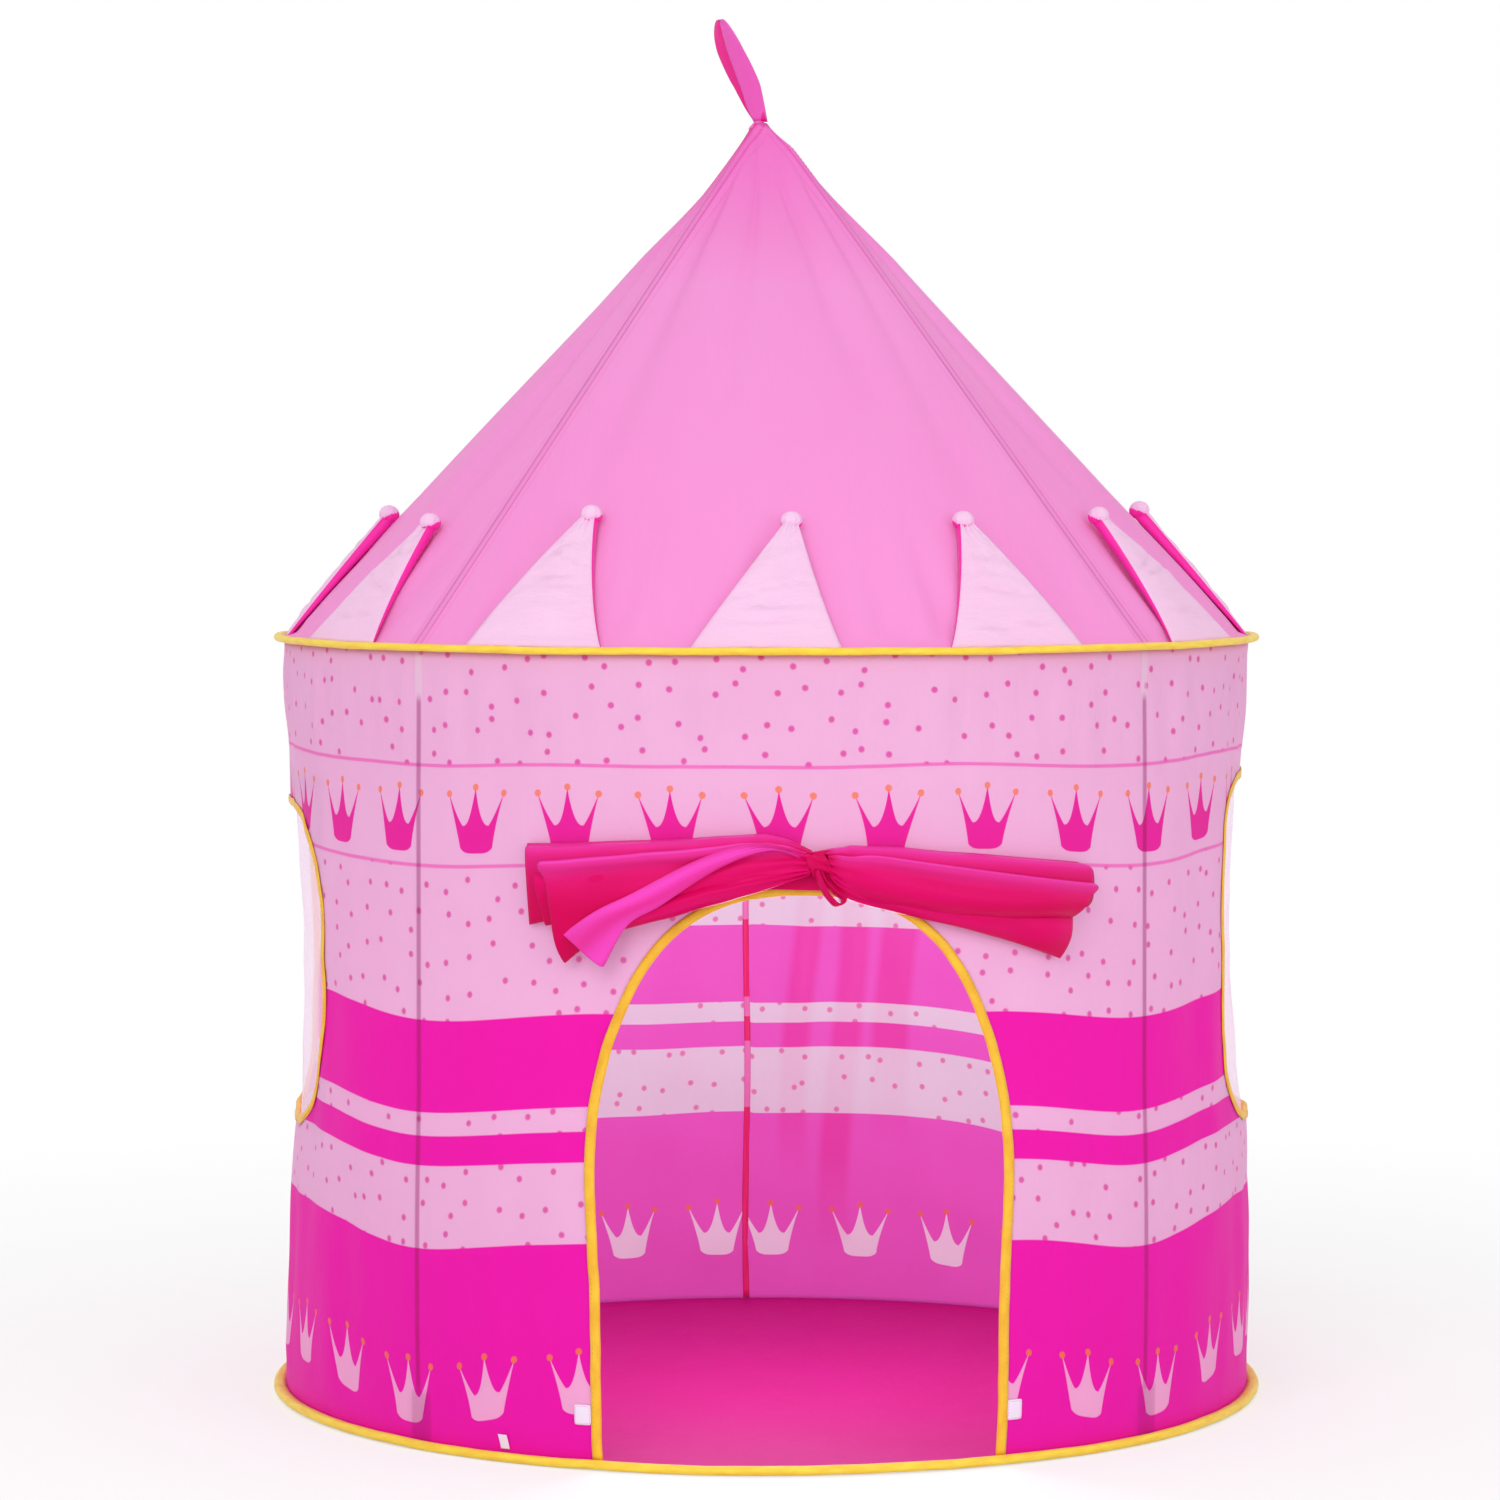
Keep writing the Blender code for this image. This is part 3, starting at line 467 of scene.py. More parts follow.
wallSize = {
    "radius": 0.5113,  # what the print is measured round
    "baseRadius": 0.51153, "eaveRadius": 0.50933, "foot": 0.0018, "top": 0.7940, "full": 0.796,
    "columns": 360, "rows": 104, "thickness": 0.0012,
    "waist": 0.006, "bulge": 0.003, "fold": 0.0012, "folds": 12,
    "creases": 0.0015, "broadCreases": 0.0010, "pleats": 0.0021, "pleatHeight": 0.74, "limbSpread": 24 * degree,
    # how far each side stands out at the tent's left and right, as the picture's outline shows
    "limbHeights": (0.0, 0.043, 0.17, 0.30, 0.42, 0.55, 0.68, 0.72, 0.766, 0.79),
    "rightLimb": (0.0, -0.001, 0.001, 0.002, -0.002, -0.008, -0.007, -0.005, -0.003, 0.0),
    "leftLimb": (0.0, -0.002, -0.004, -0.008, -0.006, -0.005, -0.004, -0.001, 0.0, 0.0),
    # soft upright folds: azimuth, half width, depth, and from and to what height
    "folded": ((172.4, 2.2, 0.0075, 0.20, 0.62), (167.0, 2.4, 0.0060, 0.12, 0.56), (159.5, 3.0, 0.0045, 0.25, 0.66),
               (-168.0, 2.6, 0.0045, 0.16, 0.52), (31.0, 2.6, 0.0022, 0.62, 0.78), (-34.0, 2.8, 0.0022, 0.60, 0.78),
               (-12.0, 2.4, 0.0016, 0.66, 0.78), (17.0, 2.6, 0.0018, 0.64, 0.78), (56.0, 2.6, 0.0030, 0.28, 0.74)),
}


def wallRadius(azimuth, height):
    size = wallSize
    share = np.clip((height - size["foot"]) / (size["full"] - size["foot"]), 0, 1)
    azimuth = np.asarray((np.asarray(azimuth) + math.pi) % math.tau - math.pi)
    between = np.cos(2 * azimuth) ** 2
    radius = mix(size["baseRadius"], size["eaveRadius"], share)
    radius = radius + size["bulge"] * np.sin(math.pi * np.minimum(share / 0.45, 1))
    radius = radius - size["waist"] * np.sin(math.pi * share) ** 2 * between
    radius = radius + size["fold"] * np.cos(size["folds"] * azimuth) * np.sin(math.pi * share) * between
    for middle, table in ((math.pi / 2, "rightLimb"), (-math.pi / 2, "leftLimb")):
        out = np.interp(height, size["limbHeights"], size[table])
        radius = radius + out * np.exp(-(((azimuth - middle) / size["limbSpread"]) ** 2))
    arc = azimuth * size["radius"]
    held = smooth(height, 0.014, 0.06) * (1 - smooth(height, 0.76, 0.79))
    free = (1 - rodNearness(azimuth, 7)) * held
    radius = radius + size["creases"] * free * waves(arc, height * 0.22, 0.075, 4)
    radius = radius + size["broadCreases"] * free * waves(arc * 0.5, height, 0.11, 9)
    for middle, spread, depth, low, high in size["folded"]:
        turn = (azimuth / degree - middle + 1.6 * np.sin(height * 9 + middle) + 180) % 360 - 180
        tall = smooth(height, low, mix(low, high, 0.45)) * (1 - smooth(height, mix(low, high, 0.6), high))
        radius = radius - depth * np.exp(-((turn / spread) ** 2)) * tall
    pleat = np.exp(-((height - size["pleatHeight"]) / 0.06) ** 2) * held
    return radius + size["pleats"] * pleat * waves(arc, height * 0.1, 0.03, 21)


def superOval(angle, width, upHeight, downHeight, powers):
    # powers are for its four quarters, from right-up round to right-down
    across, up = np.cos(angle), np.sin(angle)
    quarter = (np.floor(angle / (math.pi / 2)).astype(int)) % 4
    power = np.asarray(powers, float)[quarter]
    high = np.where(up > 0, upHeight, downHeight)
    return (
        width * np.sign(across) * np.abs(across) ** (2 / power),
        high * np.sign(up) * np.abs(up) ** (2 / power),
    )


openingSize = {
    "door": {"azimuth": 1.4 * degree, "half": 0.2015, "shoulder": 0.250, "rise": 0.314, "power": 2.5, "foot": 0.193,
             "sill": 0.0088, "wobble": 0.0016, "archPoints": 122, "sidePoints": 30},
    "left": {"azimuth": -85 * degree, "half": 0.164, "up": 0.148, "down": 0.178, "middle": 0.476,
             "powers": (3.0, 5, 5, 3.2), "wobble": 0.0028, "seed": 31},
    "right": {"azimuth": 85 * degree, "half": 0.170, "up": 0.178, "down": 0.178, "middle": 0.476,
              "powers": (5, 4.6, 4.0, 5), "wobble": 0.0028, "seed": 37},
}


def openingOutline(name, count=180):
    # (across, height) round an opening's cut edge
    size = openingSize[name]
    if name == "door":
        angle = np.linspace(0, math.pi, size["archPoints"])
        across, up = superOval(angle, size["half"], size["rise"], size["rise"], (size["power"],) * 4)
        arch = np.stack((across, up + size["shoulder"]), -1)
        side = np.linspace(0, 1, size["sidePoints"])[1:]
        left = np.stack((mix(-size["half"], -size["foot"], side ** 1.2), mix(size["shoulder"], size["sill"], side)), -1)
        right = np.stack((-left[::-1, 0], left[::-1, 1]), -1)
        line = np.concatenate((right, arch, left))
        sway = size["wobble"] * np.sin(line[:, 1] * 21 + 1.0) * np.sign(line[:, 0])
        line[:, 0] += sway * smooth(np.abs(line[:, 0]), 0.1, 0.19)
        return line
    angle = np.linspace(0, math.tau, count, endpoint=False)
    across, up = superOval(angle, size["half"], size["up"], size["down"], size["powers"])
    out = 1 + size["wobble"] / size["half"] * waves(angle, angle * 0, 0.9, size["seed"])
    closed = np.cos(angle * 5 + 0.7) * 0.006 + 1
    return np.stack((across * out * closed, up * closed + size["middle"]), -1)


def evenly(line, count, closed):
    line = np.concatenate((line, line[:1])) if closed else line
    steps = np.concatenate(((0,), np.cumsum(np.linalg.norm(np.diff(line, axis=0), axis=1))))
    at = np.linspace(0, steps[-1], count, endpoint=not closed)
    return np.stack([np.interp(at, steps, line[:, axis]) for axis in range(line.shape[1])], -1), steps[-1]


def insideLine(points, line):
    # even-odd rule against a closed outline
    x, y = points[:, 0, None], points[:, 1, None]
    x0, y0 = line[:, 0], line[:, 1]
    x1, y1 = np.roll(x0, -1), np.roll(y0, -1)
    crosses = (y0 > y) != (y1 > y)
    at = (x1 - x0) * (y - y0) / np.where(y1 == y0, 1e-12, y1 - y0) + x0
    return (crosses & (x < at)).sum(axis=1) % 2 == 1


def openingAzimuth(name, across, height):
    middle = openingSize[name]["azimuth"]
    radius = wallRadius(middle, height)
    for _ in range(2):
        radius = wallRadius(middle + np.arcsin(np.clip(across / radius, -0.99, 0.99)), height)
    return middle + np.arcsin(np.clip(across / radius, -0.99, 0.99)), radius


def buildWall():
    size = wallSize
    columns, rows = size["columns"], size["rows"]
    across, up = np.meshgrid(np.linspace(-1, 1, columns + 1)[:-1], np.linspace(0, 1, rows + 1))
    azimuth, height = across * math.pi, mix(size["foot"], size["top"], up)
    corners, faces = gridFaces(columns, rows, ring=True)
    gone = np.zeros(len(faces), bool)
    for name in openingSize:
        line = openingOutline(name)
        if name == "door":
            foot = openingSize["door"]["foot"]
            line = np.concatenate((line, ((-foot, -0.02), (foot, -0.02))))
        turn = (azimuth - openingSize[name]["azimuth"] + math.pi) % math.tau - math.pi
        flat = np.stack((wallRadius(azimuth, height) * np.sin(turn), height), -1).reshape(-1, 2)
        near = (np.abs(turn) < 40 * degree).ravel()
        middle = flat[faces].mean(axis=1)
        chosen = np.flatnonzero(near[faces].all(axis=1))
        hole = chosen[insideLine(middle[chosen], line)]
        gone[hole] = True
        rest = np.ones(len(faces), bool)
        rest[hole] = False
        # the points of the cut edge move onto the outline
        edge = np.intersect1d(faces[hole].ravel(), faces[rest & near[faces].all(axis=1)].ravel())
        dense, _length = evenly(line, 2400, True)
        for index in edge:
            gap = ((dense - flat[index]) ** 2).sum(axis=1)
            if height.ravel()[index] < 0.006:
                gap = gap + (dense[:, 1] - flat[index, 1]) ** 2 * 50
            goal = dense[gap.argmin()]
            azimuth.flat[index] = openingAzimuth(name, goal[0], goal[1])[0]
            height.flat[index] = max(goal[1], size["foot"])
    corners, faces = corners[~gone], faces[~gone]
    arc = azimuth * size["radius"]
    dip = 0.03 * (1 - np.clip(height / 0.8, 0, 1)) ** 0.8 * rodNearness(azimuth, 14)
    printArc = arc + 0.0015 * waves(arc, height, 0.16, 5)
    printHeight = height + dip + 0.0016 * waves(arc, height, 0.2, 6)
    # the last column runs on past half a turn instead of jumping back
    wrapped = (corners[..., 0] == columns)[..., None] * np.array((math.tau * size["radius"], 0))
    uvs = {}
    for key, table in (("cloth", (arc, height)), ("print", (printArc, printHeight))):
        uvs[key] = np.stack(table, -1).reshape(-1, 2)[faces] + wrapped
    points = spot(wallRadius(azimuth, height), azimuth, height)
    finishes = [wallFinish("wallPrint", False), wallFinish("wallPrintInside", True)]
    piece = meshPiece("wallCloth", points, faces, finishes, uvs)
    thicken(piece, size["thickness"], inner=1)
    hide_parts("wall_cloth")
    return piece


def rideWall(piece):
    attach(piece, "base")
    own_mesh(piece)


wallPiece = buildWall()
rideWall(wallPiece)
print("play tent: wall done", len(wallPiece.data.polygons))


clothLook = {
    "roof": paint(246, 174, 234), "roofDeep": paint(246, 124, 214), "roofGlow": paint(252, 130, 208),
    # the seam colour darkens the ridge seams' rows, partly for the doubled cloth and partly as painted shade; the peak
    # colour is painted shade
    "seam": paint(236, 72, 182), "peak": paint(222, 8, 128),
    # the second point colour is a painted shaded copy of the first
    "pointFront": paint(255, 216, 248), "pointFoldShade": paint(252, 188, 234), "pointBack": paint(250, 40, 176),
    "tape": paint(250, 222, 66), "tapeShade": paint(240, 176, 44), "tapeThread": paint(222, 168, 44),
    "edge": paint(248, 198, 46), "edgeShade": paint(230, 148, 24),
    # the last two satin colours are painted highlights
    "satin": paint(204, 1, 76), "satinHighlight": paint(244, 74, 196), "satinFoldHighlight": paint(226, 10, 110),
    "floor": paint(192, 0, 130), "white": paint(244, 232, 250),
}


def plainCloth(
    name, colour, second, glow=None, glowShare=0.0, crease=0.4, creaseSize=16,
    rough=0.55, stretch=(1, 1, 1), weave=0.0014, sheen=0.15,
):
    finish = Finish(name)
    place = finish.uv()
    mottle = finish.noise(place, 7, 3.0)
    creases = finish.noise(place, creaseSize, 4.0, stretch, 0.6)
    base = finish.blend(mottle * 0.6, colour, second)
    bumps = ((creases, crease, 0.006), (finish.weave(place, weave), 0.12, 0.0002))
    solid = finish.surface(
        base, mottle * 0.14 + (rough - 0.07), bumps,
        Sheen_Weight=sheen, Sheen_Roughness=0.4, Specular_IOR_Level=0.35,
    )
    if glow:
        return lit(finish, solid, glow, glowShare)
    return finish.end(solid[0])


def roofFinish():
    look = clothLook
    finish = Finish("roofCloth")
    place = finish.uv()
    mottle = finish.noise(place, 6, 3.0, (1, 0.5, 1))
    deep = finish.parts(place)[1].between(0.60, 2.0, 0.22)
    base = finish.blend(mottle * 0.35 + deep * 0.75, look["roof"], look["roofDeep"])
    # the seams along the ridges, each felled and stitched twice; their rows are darker for the doubled cloth and with
    # painted shade of the seam's folds
    away = finish.read("ridge")
    rows = away.between(0.0030, 0.0052, 0.0012) + away.between(0.0104, 0.0114, 0.0010) * 0.5
    base = finish.blend(rows * 0.55, base, look["seam"])
    # painted shade near the peak
    base = finish.blend(finish.read("peakShade"), base, look["peak"])
    felled = 1 - away.over(0.0110, 0.0012)
    creases = finish.noise(place, 11, 4.0, (1.4, 0.35, 1), 0.55)
    bumps = ((creases, 0.35, 0.008), (felled, 0.2, 0.0008), (finish.weave(place, 0.0014), 0.1, 0.0002))
    solid = finish.surface(base, mottle * 0.12 + 0.48, bumps, Specular_IOR_Level=0.22)
    return lit(finish, solid, look["roofGlow"], 0.27)


def tapeFinish(name, colour, second):
    finish = Finish(name)
    place = finish.uv()
    mottle = finish.noise(place, 40, 3.0, (1, 3, 1))
    base = finish.blend(mottle.between(0.50, 1.5, 0.35) * 0.55, colour, second)
    puckers = finish.noise(place, 160, 2.0, (1, 0.35, 1))
    bumps = ((puckers, 0.45, 0.0012), (finish.weave(place, 0.0009), 0.25, 0.0002))
    solid = finish.surface(
        base, mottle * 0.15 + 0.42, bumps,
        Sheen_Weight=0.2, Sheen_Roughness=0.35, Specular_IOR_Level=0.4,
    )
    return finish.end(solid[0])


def satinFinish():
    look = clothLook
    finish = Finish("curtainSatin")
    place = finish.uv()
    folds = finish.noise(place, 9, 3.0, (0.35, 1.6, 1))
    # painted highlight: lighter on the crests of the fold bumps
    base = finish.blend(folds.between(0.52, 2.0, 0.3), look["satin"], look["satinFoldHighlight"])
    # painted highlights on the bow, as much as its pale value says
    base = finish.blend(finish.read("pale"), base, look["satinHighlight"])
    fine = finish.noise(place, 60, 2.0, (0.3, 1.5, 1))
    solid = finish.surface(
        base, folds * 0.12 + 0.36, ((folds, 0.25, 0.01), (fine, 0.1, 0.001)),
        Specular_IOR_Level=0.3, Specular_Tint=paint(255, 120, 205),
    )
    return finish.end(solid[0])


def netFinish():
    # a fine knitted net, see-through between its threads
    finish = Finish("windowNet")
    place = finish.uv()
    across, up, _deep = finish.parts(place)
    pitch, thread = 0.0022, 0.00042
    slant, other = (across + up) % pitch, (across - up) % pitch
    near = abs(slant - pitch / 2).least(abs(other - pitch / 2))
    threads = (thread - near).over(0, 0.0003)
    cloudy = finish.noise(place, 20, 2.0)
    base = finish.blend(cloudy, paint(248, 240, 250), paint(240, 226, 244))
    shader, _normal = finish.surface(base, cloudy * 0.1 + 0.65, ((threads, 0.4, 0.0004),), Alpha=threads * 0.7 + 0.08)
    return finish.end(shader)


def hardFinish(name, colour, second, roughness, metallic=0.0, scale=60, coat=0.0, stretch=(1, 1, 1), bump=0.15):
    finish = Finish(name)
    place = finish.make("TexCoord", {}, {}, 3)
    mottle = finish.noise(place, scale, 4.0, stretch)
    fine = finish.noise(place, scale * 9, 2.0)
    base = finish.blend(mottle, colour, second)
    solid = finish.surface(
        base, mottle * 0.2 + (roughness - 0.1), ((mottle, bump, 0.0006), (fine, bump / 2, 0.0002)),
        Metallic=metallic, Coat_Weight=coat, Coat_Roughness=0.2,
    )
    return finish.end(solid[0])


roofCloth, satinCloth, netCloth = roofFinish(), satinFinish(), netFinish()
ringTape = tapeFinish("ringTape", clothLook["tape"], clothLook["tapeShade"])
edgeTape = tapeFinish("edgeTape", clothLook["edge"], clothLook["edgeShade"])
floorCloth = plainCloth(
    "floorCloth", clothLook["floor"], paint(186, 2, 120), crease=0.5, creaseSize=10, rough=0.65, sheen=0.0,
)
# the points' pale cloth, mixed at random with a painted shaded copy of itself
pointPale = plainCloth(
    "pointPale", clothLook["pointFront"], clothLook["pointFoldShade"], paint(255, 180, 230), glowShare=0.14,
    crease=0.7, creaseSize=26, rough=0.5, stretch=(0.5, 2.0, 1), sheen=0.0,
)
pointHot = plainCloth("pointHot", clothLook["pointBack"], paint(236, 20, 150), crease=0.4, creaseSize=30)
pocketCloth = plainCloth("pocketCloth", paint(232, 90, 180), paint(222, 60, 160))
whiteCloth = plainCloth("whiteCloth", clothLook["white"], paint(230, 214, 240), crease=0.2, creaseSize=60, weave=0.0009)
ribbonCloth = plainCloth(
    "topRibbon", paint(250, 112, 212), paint(242, 70, 186), paint(250, 140, 215), glowShare=0.2,
    crease=0.3, creaseSize=30, rough=0.35,
)
# the loop's inner face, painted darker as shade
ribbonShadedInside = plainCloth(
    "topRibbonShadedInside", paint(236, 24, 150), paint(222, 0, 120), crease=0.3, creaseSize=30, rough=0.4,
)
paleThread = hardFinish("paleThread", paint(250, 128, 208), paint(244, 110, 198), 0.6, scale=900)
yellowThread = hardFinish("yellowThread", clothLook["tapeThread"], paint(200, 140, 30), 0.6, scale=900)
rodGrey = hardFinish("rodGlassFibre", paint(128, 126, 136), paint(104, 102, 112), 0.42, scale=120, stretch=(8, 8, 0.6))
ferruleSteel = hardFinish("rodFerrule", paint(196, 198, 204), paint(170, 172, 178), 0.3, metallic=1.0, scale=200)
elbowWhite = hardFinish("elbowPlastic", paint(236, 236, 240), paint(222, 222, 228), 0.38, scale=90, coat=0.2)
hoopSteel = hardFinish("hoopWire", paint(176, 178, 184), paint(150, 152, 158), 0.32, metallic=1.0, scale=240)


class NodeSteps:
    # builds one Geometry Nodes tree with named inputs
    def __init__(self, name):
        self.tree = bpy.data.node_groups.new(name, "GeometryNodeTree")
        self.tree.is_modifier = True
        self.tree.interface.new_socket("Geometry", in_out="INPUT", socket_type="NodeSocketGeometry")
        self.tree.interface.new_socket("Geometry", in_out="OUTPUT", socket_type="NodeSocketGeometry")

    def input(self, name, kind, value=None):
        made = self.tree.interface.new_socket(name, in_out="INPUT", socket_type="NodeSocket" + kind)
        if value is not None:
            made.default_value = value

    def open(self):
        self.given = self.tree.nodes.new("NodeGroupInput").outputs

    def make(self, kind, settings=None, sockets=None, output=0):
        node = self.tree.nodes.new(kind)
        for key, value in (settings or {}).items():
            setattr(node, key, value)
        for key, value in (sockets or {}).items():
            for each in value if isinstance(value, list) else [value]:
                if isinstance(each, bpy.types.NodeSocket):
                    self.tree.links.new(each, node.inputs[key])
                else:
                    node.inputs[key].default_value = each
        return node.outputs[output]

    def close(self, geometry):
        out = self.tree.nodes.new("NodeGroupOutput")
        self.tree.links.new(geometry, out.inputs[0])
        return self.tree


def fromNodes(name, tree, values, startMesh=None):
    # the tree's result as a plain mesh: inputs are set before the object is first evaluated
    source = bpy.data.objects.new(name + "Nodes", startMesh or bpy.data.meshes.new(name + "Nodes"))
    steps = source.modifiers.new("Nodes", "NODES")
    steps.node_group = tree
    for item in tree.interface.items_tree:
        if item.item_type == "SOCKET" and item.in_out == "INPUT" and item.name in values:
            steps[item.identifier] = values[item.name]
    scene.collection.objects.link(source)
    graph = bpy.context.evaluated_depsgraph_get()
    mesh = bpy.data.meshes.new_from_object(source.evaluated_get(graph))
    bpy.data.objects.remove(source)
    mesh.name = name
    piece = bpy.data.objects.new(name, mesh)
    scene.collection.objects.link(piece)
    return piece


def rodTree():
    steps = NodeSteps("rodWithFerrules")
    steps.input("Start", "Vector")
    steps.input("End", "Vector")
    steps.input("Radius", "Float", 0.0025)
    steps.input("Sides", "Int", 20)
    steps.input("Ferrule Length", "Float", 0.05)
    steps.input("Ferrule Extra", "Float", 0.0007)
    steps.input("Rod Finish", "Material")
    steps.input("Ferrule Finish", "Material")
    steps.open()
    given = steps.given
    line = steps.make("GeometryNodeCurvePrimitiveLine", {}, {"Start": given["Start"], "End": given["End"]})
    ring = steps.make("GeometryNodeCurvePrimitiveCircle", {}, {"Resolution": given["Sides"], "Radius": given["Radius"]})
    rod = steps.make("GeometryNodeCurveToMesh", {}, {"Curve": line, "Profile Curve": ring, "Fill Caps": True})
    rod = steps.make("GeometryNodeSetMaterial", {}, {"Geometry": rod, "Material": given["Rod Finish"]})
    # a sleeve where the rod's sections meet
    wide = steps.make("ShaderNodeMath", {"operation": "ADD"}, {0: given["Radius"], 1: given["Ferrule Extra"]})
    sleeve = steps.make(
        "GeometryNodeMeshCylinder", {}, {"Vertices": given["Sides"], "Radius": wide, "Depth": given["Ferrule Length"]}
    )
    way = steps.make("ShaderNodeVectorMath", {"operation": "SUBTRACT"}, {0: given["End"], 1: given["Start"]})
    turn = steps.make("FunctionNodeAlignRotationToVector", {"axis": "Z"}, {"Vector": way})
    points = steps.make("GeometryNodeResampleCurve", {}, {"Curve": line, "Count": 3})
    index = steps.make("GeometryNodeInputIndex")
    middle = steps.make("FunctionNodeCompare", {"data_type": "INT", "operation": "EQUAL"}, {2: index, 3: 1})
    sleeves = steps.make(
        "GeometryNodeInstanceOnPoints", {},
        {"Points": points, "Selection": middle, "Instance": sleeve, "Rotation": turn},
    )
    sleeves = steps.make("GeometryNodeRealizeInstances", {}, {"Geometry": sleeves})
    sleeves = steps.make("GeometryNodeSetMaterial", {}, {"Geometry": sleeves, "Material": given["Ferrule Finish"]})
    both = steps.make("GeometryNodeJoinGeometry", {}, {0: [rod, sleeves]})
    smoothed = steps.make("GeometryNodeSetShadeSmooth", {}, {0: both, "Shade Smooth": True})
    return steps.close(smoothed)


def stitchTree():
    steps = NodeSteps("stitchRow")
    steps.input("Pitch", "Float", 0.0045)
    steps.input("Length", "Float", 0.003)
    steps.input("Thickness", "Float", 0.0004)
    steps.input("Finish", "Material")
    steps.open()
    given = steps.given
    line = steps.make("GeometryNodeMeshToCurve", {}, {"Mesh": given["Geometry"]})
    points = steps.make("GeometryNodeResampleCurve", {"mode": "LENGTH"}, {"Curve": line, "Length": given["Pitch"]})
    tangent = steps.make("GeometryNodeInputTangent")
    outward = steps.make("GeometryNodeInputNamedAttribute", {"data_type": "FLOAT_VECTOR"}, {"Name": "outward"})
    turn = steps.make("FunctionNodeAlignRotationToVector", {"axis": "Z"}, {"Vector": outward})
    turn = steps.make(
        "FunctionNodeAlignRotationToVector", {"axis": "X", "pivot_axis": "Z"}, {"Rotation": turn, "Vector": tangent}
    )
    thread = steps.make("GeometryNodeMeshUVSphere", {}, {"Segments": 6, "Rings": 4, "Radius": 0.5})
    size = steps.make("ShaderNodeCombineXYZ", {}, {0: given["Length"], 1: given["Thickness"], 2: given["Thickness"]})
    stitches = steps.make(
        "GeometryNodeInstanceOnPoints", {},
        {"Points": points, "Instance": thread, "Rotation": turn, "Scale": size},
    )
    whole = steps.make("GeometryNodeRealizeInstances", {}, {"Geometry": stitches})
    smoothed = steps.make("GeometryNodeSetShadeSmooth", {}, {0: whole, "Shade Smooth": True})
    return steps.close(steps.make("GeometryNodeSetMaterial", {}, {"Geometry": smoothed, "Material": given["Finish"]}))


rodNodes, stitchNodes = rodTree(), stitchTree()
stitchSize = {"Pitch": 0.0048, "Length": 0.0034, "Thickness": 0.0005}


def stitchRow(name, lines, finish, **other):
    # lines are (points, outward directions, closed) of each row
    points, edges, outwards = [], [], []
    for line, outward, closed in lines:
        start, count = len(points), len(line)
        points += [tuple(map(float, each)) for each in line]
        outwards += [tuple(map(float, each)) for each in outward]
        edges += [(start + step, start + step + 1) for step in range(count - 1)]
        if closed:
            edges.append((start + count - 1, start))
    mesh = bpy.data.meshes.new(name + "Line")
    mesh.from_pydata(points, edges, [])
    facing = mesh.attributes.new("outward", "FLOAT_VECTOR", "POINT")
    facing.data.foreach_set("vector", np.array(outwards, np.float32).ravel())
    piece = fromNodes(name, stitchNodes, {**stitchSize, **other, "Finish": finish}, mesh)
    print("play tent: stitches", name, len(piece.data.polygons))
    return piece


ringSize = {
    "base": {"outer": 0.525, "width": 0.0126, "middle": 0.0053, "height": 0.0094, "seed": 3},
    "eave": {"outer": 0.5215, "width": 0.0118, "middle": 0.7975, "height": 0.0074, "seed": 8},
    "tape": 0.0009, "columns": 300, "wire": 0.0020, "rise": 0.0011, "dent": 0.0006, "stitchIn": 0.0030,
}


def ringWobble(size, azimuth):
    # whole waves round the ring, so that it closes
    chance = np.random.default_rng(size["seed"])
    rise, out = azimuth * 0, azimuth * 0
    for waveCount in (5, 9, 14, 23, 41, 67):
        rise = rise + np.sin(azimuth * waveCount + chance.uniform(0, math.tau)) * ringSize["rise"] / waveCount ** 0.5
        out = out + np.sin(azimuth * waveCount + chance.uniform(0, math.tau)) * ringSize["dent"] / waveCount ** 0.5
    return rise * 0.6, -np.abs(out)


def buildRings():
    for name in ("base", "eave"):
        size = ringSize[name]
        half, radius = size["height"] / 2, size["outer"]
        inner, middle = radius - size["width"], radius - half
        neck = mix(inner, middle, 0.45)
        bend = np.linspace(-90, 90, 11) * degree
        rounded = [(middle + half * math.cos(a), half * math.sin(a)) for a in bend]
        path = [(inner, -half * 0.55), (neck, -half * 0.82), *rounded, (neck, half * 0.82), (inner, half * 0.55)]
        path = np.array(path)
        developed = float(np.cumsum(np.linalg.norm(np.diff(path, axis=0), axis=1))[-1])
        around = math.tau * radius

        def place(across, up):
            azimuth = across * math.tau - math.pi
            rise, out = ringWobble(size, azimuth)
            at = up * (len(path) - 1)
            r = np.interp(at, np.arange(len(path)), path[:, 0]) + out
            z = np.interp(at, np.arange(len(path)), path[:, 1]) + size["middle"] + rise
            return spot(r, azimuth, np.maximum(z, 0.0006))

        piece = clothGrid(
            name + "Binding", ringSize["columns"], len(path) - 1, place, (around, developed), [ringTape], ring=True
        )
        thicken(piece, ringSize["tape"], -1.0)
        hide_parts(name + "_binding")
        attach(piece, name)
        azimuth = np.linspace(-math.pi, math.pi, 600, endpoint=False)
        rise, out = ringWobble(size, azimuth)
        rows = []
        for side in (1,) if name == "base" else (1, -1):
            height = size["middle"] + side * (half * 0.70 + 0.0003) + rise
            line = spot(inner + ringSize["stitchIn"] + out, azimuth, height)
            rows.append((line, np.tile((0, 0, side), (len(line), 1)), True))
        stitches = stitchRow(name + "Stitches", rows, yellowThread)
        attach(stitches, name)
        wire = spot(middle, azimuth[::4], size["middle"] + azimuth[::4] * 0)
        hoop = tube(name + "Hoop", wire, ringSize["wire"], 10, hoopSteel, closed=True)
        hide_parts(name + "_hoop")
        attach(hoop, name)


